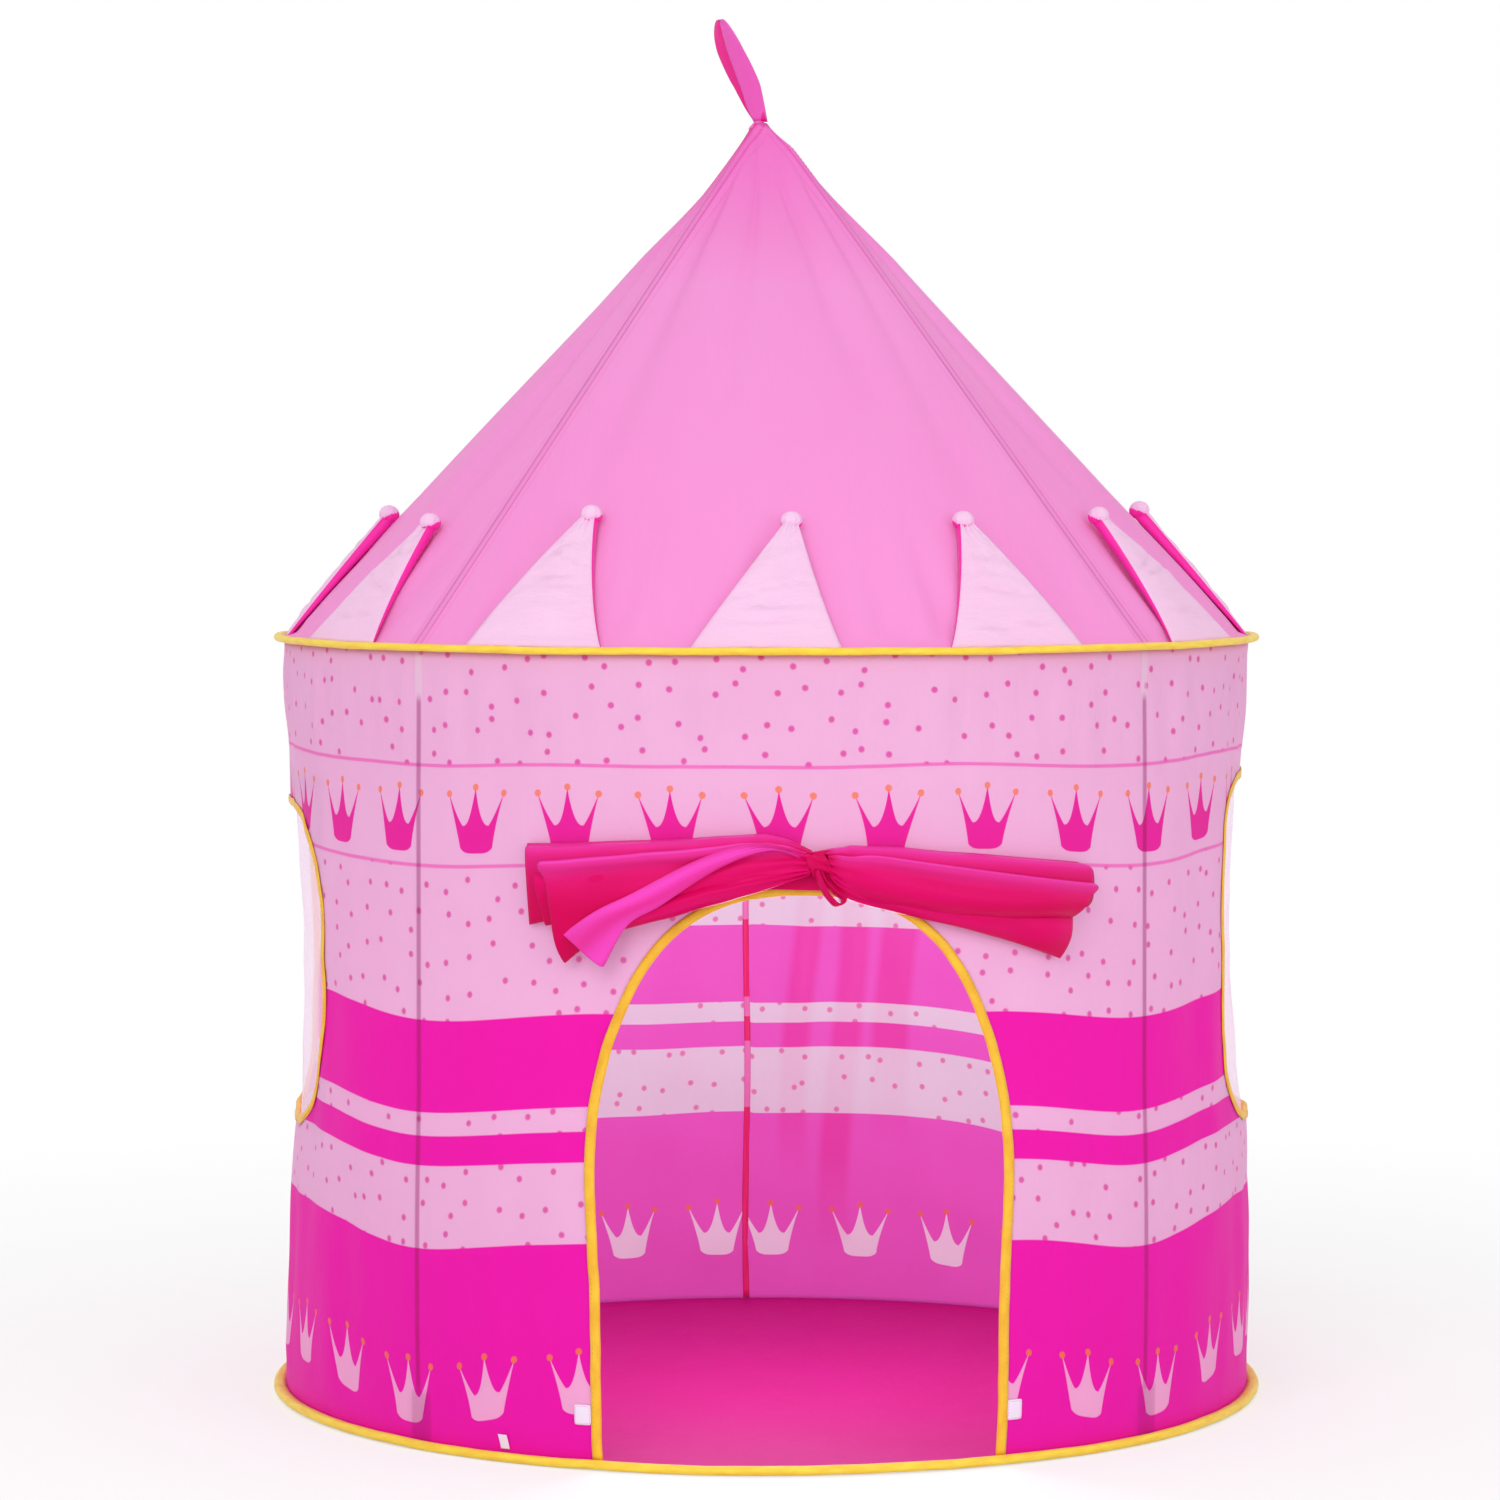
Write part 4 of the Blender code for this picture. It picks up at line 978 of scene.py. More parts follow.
def tube(name, path, radii, sides, finish, closed=False):
    # a smooth tube along a path, its frame carried along so that it doesn't twist
    path = np.asarray(path, float)
    radii = np.broadcast_to(np.asarray(radii, float), (len(path),))
    ahead = np.roll(path, -1, 0) - np.roll(path, 1, 0)
    if not closed:
        ahead[0], ahead[-1] = path[1] - path[0], path[-1] - path[-2]
    ahead /= np.linalg.norm(ahead, axis=1)[:, None]
    side = np.cross(ahead[0], (0, 0, 1.0) if abs(ahead[0][2]) < 0.9 else (1.0, 0, 0))
    sideWays = []
    for way in ahead:
        side = side - way * side.dot(way)
        side = side / np.linalg.norm(side)
        sideWays.append(side)
    sideWays = np.array(sideWays)
    ups = np.cross(ahead, sideWays)
    angle = np.linspace(0, math.tau, sides, endpoint=False)
    rings = path[:, None] + radii[:, None, None] * (
        np.cos(angle)[None, :, None] * sideWays[:, None] + np.sin(angle)[None, :, None] * ups[:, None]
    )
    count = len(path)
    faces = []
    for row in range(count if closed else count - 1):
        below, above = row * sides, (row + 1) % count * sides
        faces += [[below + k, below + (k + 1) % sides, above + (k + 1) % sides, above + k] for k in range(sides)]
    if not closed:
        faces += [list(range(sides))[::-1], [(count - 1) * sides + k for k in range(sides)]]
    return tidyNormals(meshPiece(name, rings, faces, [finish]), 1e-6)


buildRings()
print("play tent: rings done")


edgeSize = {"leaf": 0.0070, "seat": 0.0012, "thick": 0.0008, "fold": 0.0014}


def edgePoints(name, grow, radial, count=260):
    # a line round an opening, grown outward in the cloth and moved off it
    closed = name != "door"
    line, length = evenly(openingOutline(name), count, closed)
    ahead = np.roll(line, -1, 0) - np.roll(line, 1, 0)
    if not closed:
        ahead[0], ahead[-1] = line[1] - line[0], line[-1] - line[-2]
    ahead /= np.linalg.norm(ahead, axis=1)[:, None]
    outward = np.stack((ahead[:, 1], -ahead[:, 0]), -1)
    grown = line + outward * grow
    azimuth, radius = openingAzimuth(name, grown[:, 0], np.maximum(grown[:, 1], 0.003))
    out = spot(1.0, azimuth, 0.0)
    return spot(radius + radial, azimuth, grown[:, 1]), out, length


def buildEdgeTapes():
    size = edgeSize
    leaf, seat, fold = size["leaf"], size["seat"], size["fold"]
    profile = [(leaf, seat), (leaf * 0.66, seat + 0.0005), (leaf * 0.33, seat + 0.0007), (0.0, seat + 0.0006)]
    profile += [(-fold * 0.75, seat * 0.8), (-fold, 0.0), (-fold * 0.75, -seat * 0.8)]
    profile += [(0.0, -seat - 0.0006), (leaf * 0.33, -seat - 0.0007), (leaf * 0.66, -seat - 0.0005), (leaf, -seat)]
    for name, node in (("door", "door_binding"), ("left", "left_window_binding"), ("right", "right_window_binding")):
        closed = name != "door"
        rows = np.array([edgePoints(name, grow, radial)[0] for grow, radial in profile])  # profile by path
        _line, facing, length = edgePoints(name, *profile[-1])
        count, columns = len(profile), rows.shape[1]
        wobble = waves(np.linspace(0, length, columns), np.zeros(columns), 0.05, 14 + columns)
        rows = rows + 0.0003 * wobble[None, :, None]
        corners, faces = gridFaces(columns if closed else columns - 1, count - 1, ring=closed)
        developed = 2 * leaf + 0.005
        uvs = {"cloth": corners / np.array((columns, count - 1)) * np.array((length, developed))}
        piece = meshPiece(name + "Binding", rows, faces, [edgeTape], uvs)
        tidyNormals(piece)
        if Vector(facing[0]).dot(piece.data.polygons[0].normal) < 0:
            piece.data.flip_normals()
        thicken(piece, size["thick"], 1.0)
        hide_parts(node)
        rideWall(piece)
        lines = []
        for radial in (seat + 0.0011, -seat - 0.0011):
            line, out, _length = edgePoints(name, leaf - 0.0022, radial)
            lines.append((line, out * np.sign(radial), closed))
        rideWall(stitchRow(name + "Stitches", lines, yellowThread))


buildEdgeTapes()
print("play tent: edge tapes done")


sewnSize = {
    "netHalf": 0.178, "netReach": 0.186, "netIn": 0.0032, "netSag": 0.0065,
    "seamWidth": 0.0068, "pocketWidth": 0.026, "pocketHeight": 0.055, "rodFootCircle": 0.503483,
    "patch": (0.017, 0.020, 0.053), "patchAzimuth": (-22.9, 25.6), "tag": (0.010, 0.014, -32.5 * degree),
    "netRipple": 0.0012, "seamFoot": 0.0065, "seamTop": 0.786, "seamRise": 0.0012, "pocketFoot": 0.0024,
    "thickness": 0.0008, "tagThickness": 0.0006, "tagFoot": 0.0122, "stitchSquare": 0.42,
    "footRadius": 0.5115, "rodRadius": 0.0025, "rodGap": 0.0010, "patchLift": 0.0014, "tagLift": 0.0018,
}


def buildNets():
    size = sewnSize
    for name in ("left", "right"):
        def place(across, up):
            halfAngle = size["netHalf"] / wallSize["eaveRadius"]
            azimuth = openingSize[name]["azimuth"] + mix(-halfAngle, halfAngle, across)
            height = openingSize[name]["middle"] + mix(-size["netReach"], size["netReach"], up)
            sag = size["netSag"] * np.sin(math.pi * across) * np.sin(math.pi * up)
            ripple = size["netRipple"] * waves(across * 0.36, up * 0.37, 0.09, 51)
            ripple = ripple * np.sin(math.pi * across) * np.sin(math.pi * up)
            return spot(wallRadius(azimuth, height) - size["netIn"] - sag + ripple, azimuth, height)

        flat = (round(2 * size["netHalf"], 3), round(2 * size["netReach"], 3))
        piece = clothGrid(name + "WindowNet", 48, 48, place, flat, [netCloth])
        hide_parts(name + "_window_net")
        rideWall(piece)


def rearSeamFinish():
    finish = Finish("rearSeam")
    place = finish.uv()
    height = finish.parts(place)[1]
    hot = 0
    for top, foot in printLook["bands"]:
        hot = height.between(foot, top, 0.001) + hot
    base = finish.blend(hot, paint(226, 128, 190), paint(222, 6, 104))
    ripple = finish.noise(place, 40, 3.0)
    base = finish.blend(ripple * 0.3, base, paint(206, 30, 120))
    solid = finish.surface(base, 0.6, ((ripple, 0.4, 0.001),), Sheen_Weight=0.1)
    return finish.end(solid[0])


def buildSewnParts():
    size = sewnSize

    def seam(across, up):
        height = mix(size["seamFoot"], size["seamTop"], up)
        azimuth = math.pi + mix(-1, 1, across) * size["seamWidth"] / 2 / wallSize["radius"]
        azimuth = azimuth + 0.0012 * np.sin(height * 17) / wallSize["radius"]
        rise = size["seamRise"] * np.sin(math.pi * across) ** 0.5
        return spot(wallRadius(azimuth, height) - 0.0010 - rise, azimuth, height)

    piece = clothGrid("rearSeam", 8, 80, seam, (size["seamWidth"], 0.7795), [rearSeamFinish()])
    piece.data.flip_normals()
    thicken(piece, size["thickness"])
    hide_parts("wall_rear_seam")
    rideWall(piece)

    for number in range(4):
        rod = (45 + 90 * number) * degree

        def pocket(across, up):
            height = mix(size["pocketFoot"], size["pocketFoot"] + size["pocketHeight"], up)
            azimuth = rod + mix(-1, 1, across) * size["pocketWidth"] / 2 / size["rodFootCircle"]
            edge = wallRadius(azimuth, height) - 0.0016
            nearest = size["rodFootCircle"] - size["rodRadius"] - size["rodGap"]
            hug = np.sin(math.pi * across) ** 2
            ripple = 0.0005 * waves(across * 0.026, up * 0.055, 0.02, 60 + number) * hug
            return spot(mix(edge, nearest, hug) - np.abs(ripple), azimuth, height)

        piece = clothGrid(f"rodPocket{number + 1}", 20, 24, pocket, (0.034, size["pocketHeight"]), [pocketCloth])
        piece.data.flip_normals()
        thicken(piece, size["thickness"])
        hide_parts(f"rod_pocket_{number + 1}")
        rideWall(piece)

    wide, tall, middle = size["patch"]
    for side, beside in zip(("left", "right"), size["patchAzimuth"]):
        def patch(across, up):
            corner = 1 - 0.06 * np.abs(2 * up - 1) ** 6
            azimuth = beside * degree + mix(-wide, wide, across) / 2 / size["footRadius"] * corner
            height = middle + mix(-tall, tall, up) / 2 * (1 - 0.06 * np.abs(2 * across - 1) ** 6)
            puff = 0.0005 * np.sin(math.pi * across) ** 0.4 * np.sin(math.pi * up) ** 0.4
            return spot(wallRadius(azimuth, height) + size["patchLift"] + puff, azimuth, height)

        piece = clothGrid(side + "DoorPatch", 14, 16, patch, (wide, tall), [whiteCloth])
        thicken(piece, size["thickness"])
        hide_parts(side + "_door_patch")
        rideWall(piece)
        inset = np.linspace(0, 1, 40, endpoint=False)
        square = np.array([(-1, -1), (1, -1), (1, 1), (-1, 1)]) * size["stitchSquare"]
        round4 = np.array([mix(square[int(t * 4) % 4], square[(int(t * 4) + 1) % 4], t * 4 % 1) for t in inset])
        points = patch(round4[:, 0] + 0.5, round4[:, 1] + 0.5)
        outward = points * np.array((1, 1, 0)) / size["footRadius"]
        row = [(points + outward * 0.0005, outward, True)]
        rideWall(stitchRow(side + "PatchStitches", row, paleThread, Pitch=0.0030, Length=0.0021))

    wide, tall, middle = size["tag"]

    def tag(across, up):
        azimuth = middle + (mix(-wide, wide, across) / 2 - up * 0.0028) / 0.52
        height = size["tagFoot"] + tall * up
        curl = 0.0012 * up ** 2
        return spot(wallRadius(azimuth, height) + size["tagLift"] + curl, azimuth, height)

    piece = clothGrid("blankTag", 8, 10, tag, (wide, tall), [whiteCloth])
    thicken(piece, size["tagThickness"])
    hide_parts("blank_tag")
    rideWall(piece)


buildNets()
buildSewnParts()
print("play tent: sewn parts done")


floorSize = {
    "radius": 0.5117, "reach": 0.5104, "height": 0.0009, "crease": 0.0006, "hem": 0.0040, "thickness": 0.0008,
    "doorway": (24 * degree, 28 * degree),
}


def buildFloor():
    size = floorSize
    radius = size["radius"]

    def place(across, up):
        out = np.minimum(radius * up ** 0.8, size["reach"])
        azimuth = across * math.tau - math.pi
        x, y = out * np.sin(azimuth), -out * np.cos(azimuth)
        crease = waves(x, y, 0.16, 71) * 0.5 + waves(x, y, 0.07, 72) * 0.3
        height = size["height"] + size["crease"] * np.clip(crease, -1, 1) * (1 - smooth(up, 0.9, 0.97))
        # its hem turns up against the wall, but not across the doorway
        beside = np.abs(azimuth - openingSize["door"]["azimuth"])
        hem = smooth(up, 0.994, 1.0) * smooth(beside, *size["doorway"])
        height = height + size["hem"] * hem
        return np.stack((x, y, height), -1)

    piece = clothGrid("floorSheet", 150, 70, place, (math.tau * radius, radius), [floorCloth], ring=True)
    points, corner = pointsAndCorners(piece.data)
    remap(piece.data, points[corner][:, :2])
    tidyNormals(piece)
    if piece.data.polygons[0].normal.z < 0:
        piece.data.flip_normals()
    thicken(piece, size["thickness"])
    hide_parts("floor_cloth")
    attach(piece, "base")


buildFloor()
print("play tent: floor done")


rodSize = {
    "radius": 0.0025, "sides": 20, "ferrule": 0.055, "extra": 0.0006,
    "circle": 0.503486, "foot": 0.00185, "top": 0.74490,
    "elbowRadius": 0.0042, "elbowNeck": 0.0030, "elbowFoot": 0.7490, "neckLength": 0.0126,
    "cloth": 0.00065, "gap": 0.0003, "endGap": 0.001, "tipRadius": 0.045,
    "elbowWidths": (1.0, 1.0, 0.96, 0.96, 0.96, 1.0, 0.9, 0.74, 0.72, 0.72, 0.72, 0.72, 0.715),
}


def roofWay():
    # the plain cone's foot and top, as radius and height, and the unit way up it
    foot = np.array((wallSize["eaveRadius"], roofSize["foot"]))
    top = np.array((roofSize["topRadius"], roofSize["apex"]))
    return foot, top, (top - foot) / np.linalg.norm(top - foot)


def alongRoof(azimuth):
    # the line under the roof cloth that an elbow's neck and its roof rod share
    foot, _top, way = roofWay()
    out = np.array((way[1], -way[0]))
    low = foot - out * (rodSize["cloth"] + rodSize["gap"] + rodSize["elbowNeck"])

    def pick(t):
        return spot(low[0] + way[0] * t, azimuth, low[1] + way[1] * t)

    return pick, (rodSize["circle"] - low[0]) / way[0], (rodSize["tipRadius"] - low[0]) / way[0]


roofSize = {
    "foot": 0.8014, "apex": 1.338, "topRadius": 0.012, "columns": 288, "rows": 88, "thickness": 0.0011,
    "sagLow": 0.02, "sagHigh": 0.13, "peakRadius": 0.0030, "peakHeight": 1.3398, "pinch": 0.27, "tipLean": 0.0065,
    "slant": 0.7316, "hemRadius": 0.5117, "hemHeight": 0.7992, "seamHalf": 0.0040, "stitchLift": 0.0008,
    "lowFolds": 0.0032, "longFolds": 0.0034, "puckers": 0.0011,
    # shares of the cloth: its hem, the cone, and from where it closes in the peak
    "hem": 0.02, "cone": 0.955, "closing": 0.975, "close": 0.025,
    # azimuth at the peak, how far it drifts on its way down, depth and where it ends
    "creases": ((-82, -10, 0.0050, 0.25), (-64, 6, 0.0058, 0.10), (-35, 3, 0.0048, 0.05), (-8, -9, 0.0036, 0.20),
                (14, 12, 0.0034, 0.30), (35, -4, 0.0050, 0.08), (57, 4, 0.0054, 0.08), (84, -8, 0.0048, 0.35),
                (108, 9, 0.0050, 0.20), (152, -8, 0.0056, 0.15), (176, 10, 0.0046, 0.30), (-158, -6, 0.0052, 0.25),
                (-112, 9, 0.0054, 0.20)),
}


def buildRods():
    size = rodSize
    neck = size["neckLength"]
    shared = {
        "Radius": size["radius"], "Sides": size["sides"], "Ferrule Length": size["ferrule"],
        "Ferrule Extra": size["extra"], "Rod Finish": rodGrey, "Ferrule Finish": ferruleSteel,
    }

    def addRod(part, number, start, end):
        node = f"{part}_rod_{number}"
        piece = fromNodes(f"{part}Rod{number}", rodNodes, {**shared, "Start": tuple(start), "End": tuple(end)})
        tidyNormals(piece, 1e-7)
        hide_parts(node)
        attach(piece, node)

    for number in range(4):
        azimuth = (45 + 90 * number) * degree
        addRod("wall", number + 1, *(spot(size["circle"], azimuth, size[key]) for key in ("foot", "top")))
        pick, corner, tip = alongRoof(azimuth)
        addRod("roof", number + 1, pick(corner + neck + size["endGap"]), pick(tip))
        turn = pick(corner)
        up = spot(0.0, 0.0, 1.0)
        way = pick(corner + 1) - turn
        path = [spot(size["circle"], azimuth, z) for z in np.linspace(size["elbowFoot"], turn[2] - neck, 6)]
        path += [turn - up * 0.0105, turn - up * 0.0082, turn - up * 0.0045]
        path += [turn + (way - up) * 0.0009 + up * -0.0012]
        path += [turn + way * 0.0040, turn + way * 0.0080, turn + way * neck]
        widths = np.array(size["elbowWidths"]) * size["elbowRadius"]
        elbow = tube(f"eaveElbow{number + 1}", path, widths, 20, elbowWhite)
        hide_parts(f"eave_elbow_{number + 1}")
        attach(elbow, "eave")


buildRods()
print("play tent: rods done")


def rideRoof(piece):
    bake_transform(piece)


def roofSag(azimuth, share):
    return mix(roofSize["sagLow"], roofSize["sagHigh"], share ** 2) * np.abs(np.cos(2 * azimuth)) ** 1.7


def roofSpot(azimuth, share, lift=0.0):
    size = roofSize
    sag = roofSag(azimuth, share)
    # it narrows and leans towards its tip, but not over the rods
    free = mix(np.abs(np.cos(2 * azimuth)) ** 1.3, 1.0, smooth(share, 0.945, 1.0))
    pinch = smooth(share, 0.72, 1.0) * free
    radius = mix(wallSize["eaveRadius"], size["topRadius"], share) * (1 - size["pinch"] * pinch)
    height = mix(size["foot"], size["apex"], share)
    _foot, _top, slope = roofWay()
    leaning = np.stack((-size["tipLean"] * pinch, 0 * pinch, 0 * pinch), -1)
    return spot(radius * (1 - sag) + slope[1] * lift, azimuth, height - slope[0] * lift) + leaning


def roofFolds(azimuth, share):
    # tension folds that run up from the eave and along the ridges, in metres off the cloth
    size = roofSize
    free = 1 - rodNearness(azimuth, 5)
    low = np.exp(-((share - 0.04) / 0.14) ** 2) * smooth(share, 0.0, 0.03)
    folds = size["lowFolds"] * low * waves(azimuth * 0.5, share * 0.06, 0.040, 81) * free
    body = np.sin(math.pi * np.clip(share, 0, 1)) ** 0.7
    lengthwise = size["longFolds"] * waves(azimuth * 0.20, share * 0.06, 0.085, 83) * body * free
    # creases that fan out from the gathered peak
    for start, drift, depth, reach in size["creases"]:
        off = (azimuth / degree - start - drift * (1 - share) + 180) % 360 - 180
        line = np.exp(-(off / (2.6 + 1.6 * (1 - share))) ** 2)
        lengthwise = lengthwise - depth * line * smooth(share, reach, reach + 0.3) * (1 - smooth(share, 0.78, 0.96))
    # puckers on both sides of each ridge seam
    off = np.abs((azimuth / degree) % 90 - 45) - 7
    beside = size["puckers"] * np.exp(-(off / 3.0) ** 2) * np.sin(math.pi * share * 3.1 + 0.5) * (share < 0.97)
    return folds + lengthwise - np.abs(beside)


def buildRoof():
    size = roofSize

    def place(across, up):
        azimuth = across * math.tau - math.pi
        share = np.clip((up - size["hem"]) / size["cone"], 0, 1)
        points = roofSpot(azimuth, share, roofFolds(azimuth, share))
        # its foot goes in under the eave's tape, and its top closes in a peak
        low = np.clip((size["hem"] - up) / size["hem"], 0, 1)
        points = mix(points, spot(size["hemRadius"], azimuth, size["hemHeight"]), low[..., None])
        high = np.clip((up - size["closing"]) / size["close"], 0, 1)
        tip = size["topRadius"] * (1 - size["pinch"]) * 0.9
        peak = spot(mix(tip, size["peakRadius"], high), azimuth, mix(size["apex"], size["peakHeight"], high))
        peak = peak - np.array((size["tipLean"], 0, 0))
        return np.where(high[..., None] > 0, peak, points)

    piece = clothGrid("roofCanopy", size["columns"], size["rows"], place, (1, size["slant"]), [roofCloth], ring=True)
    points, corner = pointsAndCorners(piece.data)
    azimuth = np.arctan2(points[:, 0], -points[:, 1])
    radius = np.hypot(points[:, 0], points[:, 1])
    pointValues(piece, "ridge", np.abs((azimuth / degree) % 90 - 45) * degree * radius)
    # painted shade: darker crimson on the peak's left and back, and under the cap
    peakShadeShare = smooth(points[:, 2], 1.230, 1.290) * np.exp(-(((azimuth / degree + 100) / 44) ** 6))
    pointValues(piece, "peakShade", np.maximum(peakShadeShare, smooth(points[:, 2], 1.335, 1.341)) * 0.9)
    # around: metres of cloth from each panel's middle, along: metres up the slope
    turned = (azimuth[corner] + math.pi / 4) % (math.pi / 2) - math.pi / 4
    along = (points[corner, 2] - size["foot"]) / (size["apex"] - size["foot"]) * size["slant"]
    remap(piece.data, np.stack((turned * np.maximum(radius[corner], 0.02), along), -1))
    thicken(piece, size["thickness"])
    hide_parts("roof_panel_1", "roof_panel_2", "roof_panel_3", "roof_panel_4")
    rideRoof(piece)
    rows = []
    share = np.linspace(0.03, 0.955, 260)
    for number in range(4):
        ridge = (45 + 90 * number) * degree
        radius = mix(wallSize["eaveRadius"], size["topRadius"], share)
        for side in (-1, 1):
            azimuth = ridge + side * size["seamHalf"] / radius
            line = roofSpot(azimuth, share, roofFolds(azimuth, share) + size["stitchLift"])
            rows.append((line, spot(0.72, azimuth, 0.69), False))
    stitches = stitchRow("roofStitches", rows, paleThread, Pitch=0.0052, Length=0.0036)
    rideRoof(stitches)


buildRoof()
print("play tent: roof done")


peakSize = {
    # the gathered tip, from its foot up
    "shares": (0, 0.12, 0.3, 0.75, 1.0), "radii": (0.0098, 0.0119, 0.0109, 0.0050, 0.0022),
    "heights": (1.3318, 1.3324, 1.3344, 1.3402, 1.3418), "gather": 0.06, "lean": 0.0065, "tipLean": 0.0022,
    # the ribbon loop, and where its middle line goes as it rises
    "loopHeight": 0.1072, "loopFoot": 1.3405, "loopWidth": 0.0245, "loopHalf": 0.0125, "loopThickness": 0.0007,
    "loopShares": (0, 0.15, 0.345, 0.70, 0.84, 1.0),
    "loopMiddle": (-0.0060, -0.0128, -0.0205, -0.0385, -0.0440, -0.0490),
}


def buildPeak():
    # the gathered tip that covers the cap, and the ribbon loop sewn into it
    size = peakSize

    def place(across, up):
        azimuth = across * math.tau
        radius, height = (np.interp(up, size["shares"], size[key]) for key in ("radii", "heights"))
        gather = 1 + size["gather"] * np.cos(azimuth * 8 + up * 2) * np.sin(math.pi * np.clip(up, 0, 1))
        leaning = np.stack((-size["lean"] - size["tipLean"] * up, 0 * up, 0 * up), -1)
        return spot(radius * gather, azimuth, height) + leaning

    piece = clothGrid("peakCap", 64, 16, place, (0.09, 0.026), [peakCloth], ring=True)
    fillHoles(piece)
    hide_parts("apex_cap")
    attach(piece, "apex")

    # the loop's middle line goes up the left edge and comes back down the right one
    def loop(across, up):
        turn = math.tau * up
        rise = np.sin(turn / 2) ** 0.86
        centre = np.interp(rise, size["loopShares"], size["loopMiddle"])
        apart = size["loopHalf"] * np.sin(turn) * (1.05 - 0.35 * rise)
        width = size["loopWidth"] * (1 - 0.60 * rise ** 4) * np.interp(rise, (0, 0.12, 0.4, 1), (0.62, 0.8, 1, 1))
        twist = np.interp(up, (0, 0.5, 1), (30, 58, 20)) * degree
        side = (across - 0.5) * width
        bow = 0.0022 * np.cos(math.pi * (across - 0.5)) * np.sin(turn / 2)
        x = centre + side * np.cos(twist) - apart * np.cos(twist * 0.4) * 0.55
        y = -side * np.sin(twist) + apart * 0.8 - bow
        ripple = 0.0007 * waves(across * 0.02, up * 0.2, 0.02, 92)
        return np.stack((x, y + ripple, size["loopFoot"] + size["loopHeight"] * rise), -1)

    # the loop's inner face takes the painted shade colour
    piece = clothGrid("topLoop", 12, 96, loop, (0.0245, 0.235), [ribbonShadedInside, ribbonCloth])
    thicken(piece, size["loopThickness"], inner=1)
    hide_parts("top_loop")
    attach(piece, "apex")


peakCloth = plainCloth("peakCloth", paint(246, 120, 200), paint(226, 40, 150), crease=0.4, creaseSize=40)
buildPeak()
print("play tent: peak done")


pointSize = {
    "count": 12, "first": -1.5 * degree, "width": 0.150, "length": 0.158, "tip": 0.012, "footDrop": 0.0058,
    "leans": (0.95, -1.05, -2.2, -0.6, 0.8, -0.5, 1, 0.4, -0.8, 0.5, 1.25, 1.4), "lean": 0.018,
    "longer": {2: 0.004, 3: 0.012, 9: 0.006, 10: -0.004, 11: 0.008},
    "taper": 0.97, "leanBend": 1.5, "knob": 0.0106, "columns": 28, "rows": 40,
    "foot": {0: -0.010, 1: -0.020, 11: 0.021, 2: -0.010, 10: 0.010},  # how far a foot is sewn off its even place
    "edgeFoot": 0.0010, "edgeTip": 0.0105, "edgeBend": 0.95, "frontSag": 0.8, "seat": 0.00245, "slant": 0.73168,
    "ripple": 0.0022, "fineRipple": 0.0009, "crease": 0.0034, "gather": 0.0010, "puff": 0.0040,
    "knobGather": 0.07, "calm": (3, 4, 8, 9),  # the points whose panels ripple less
}


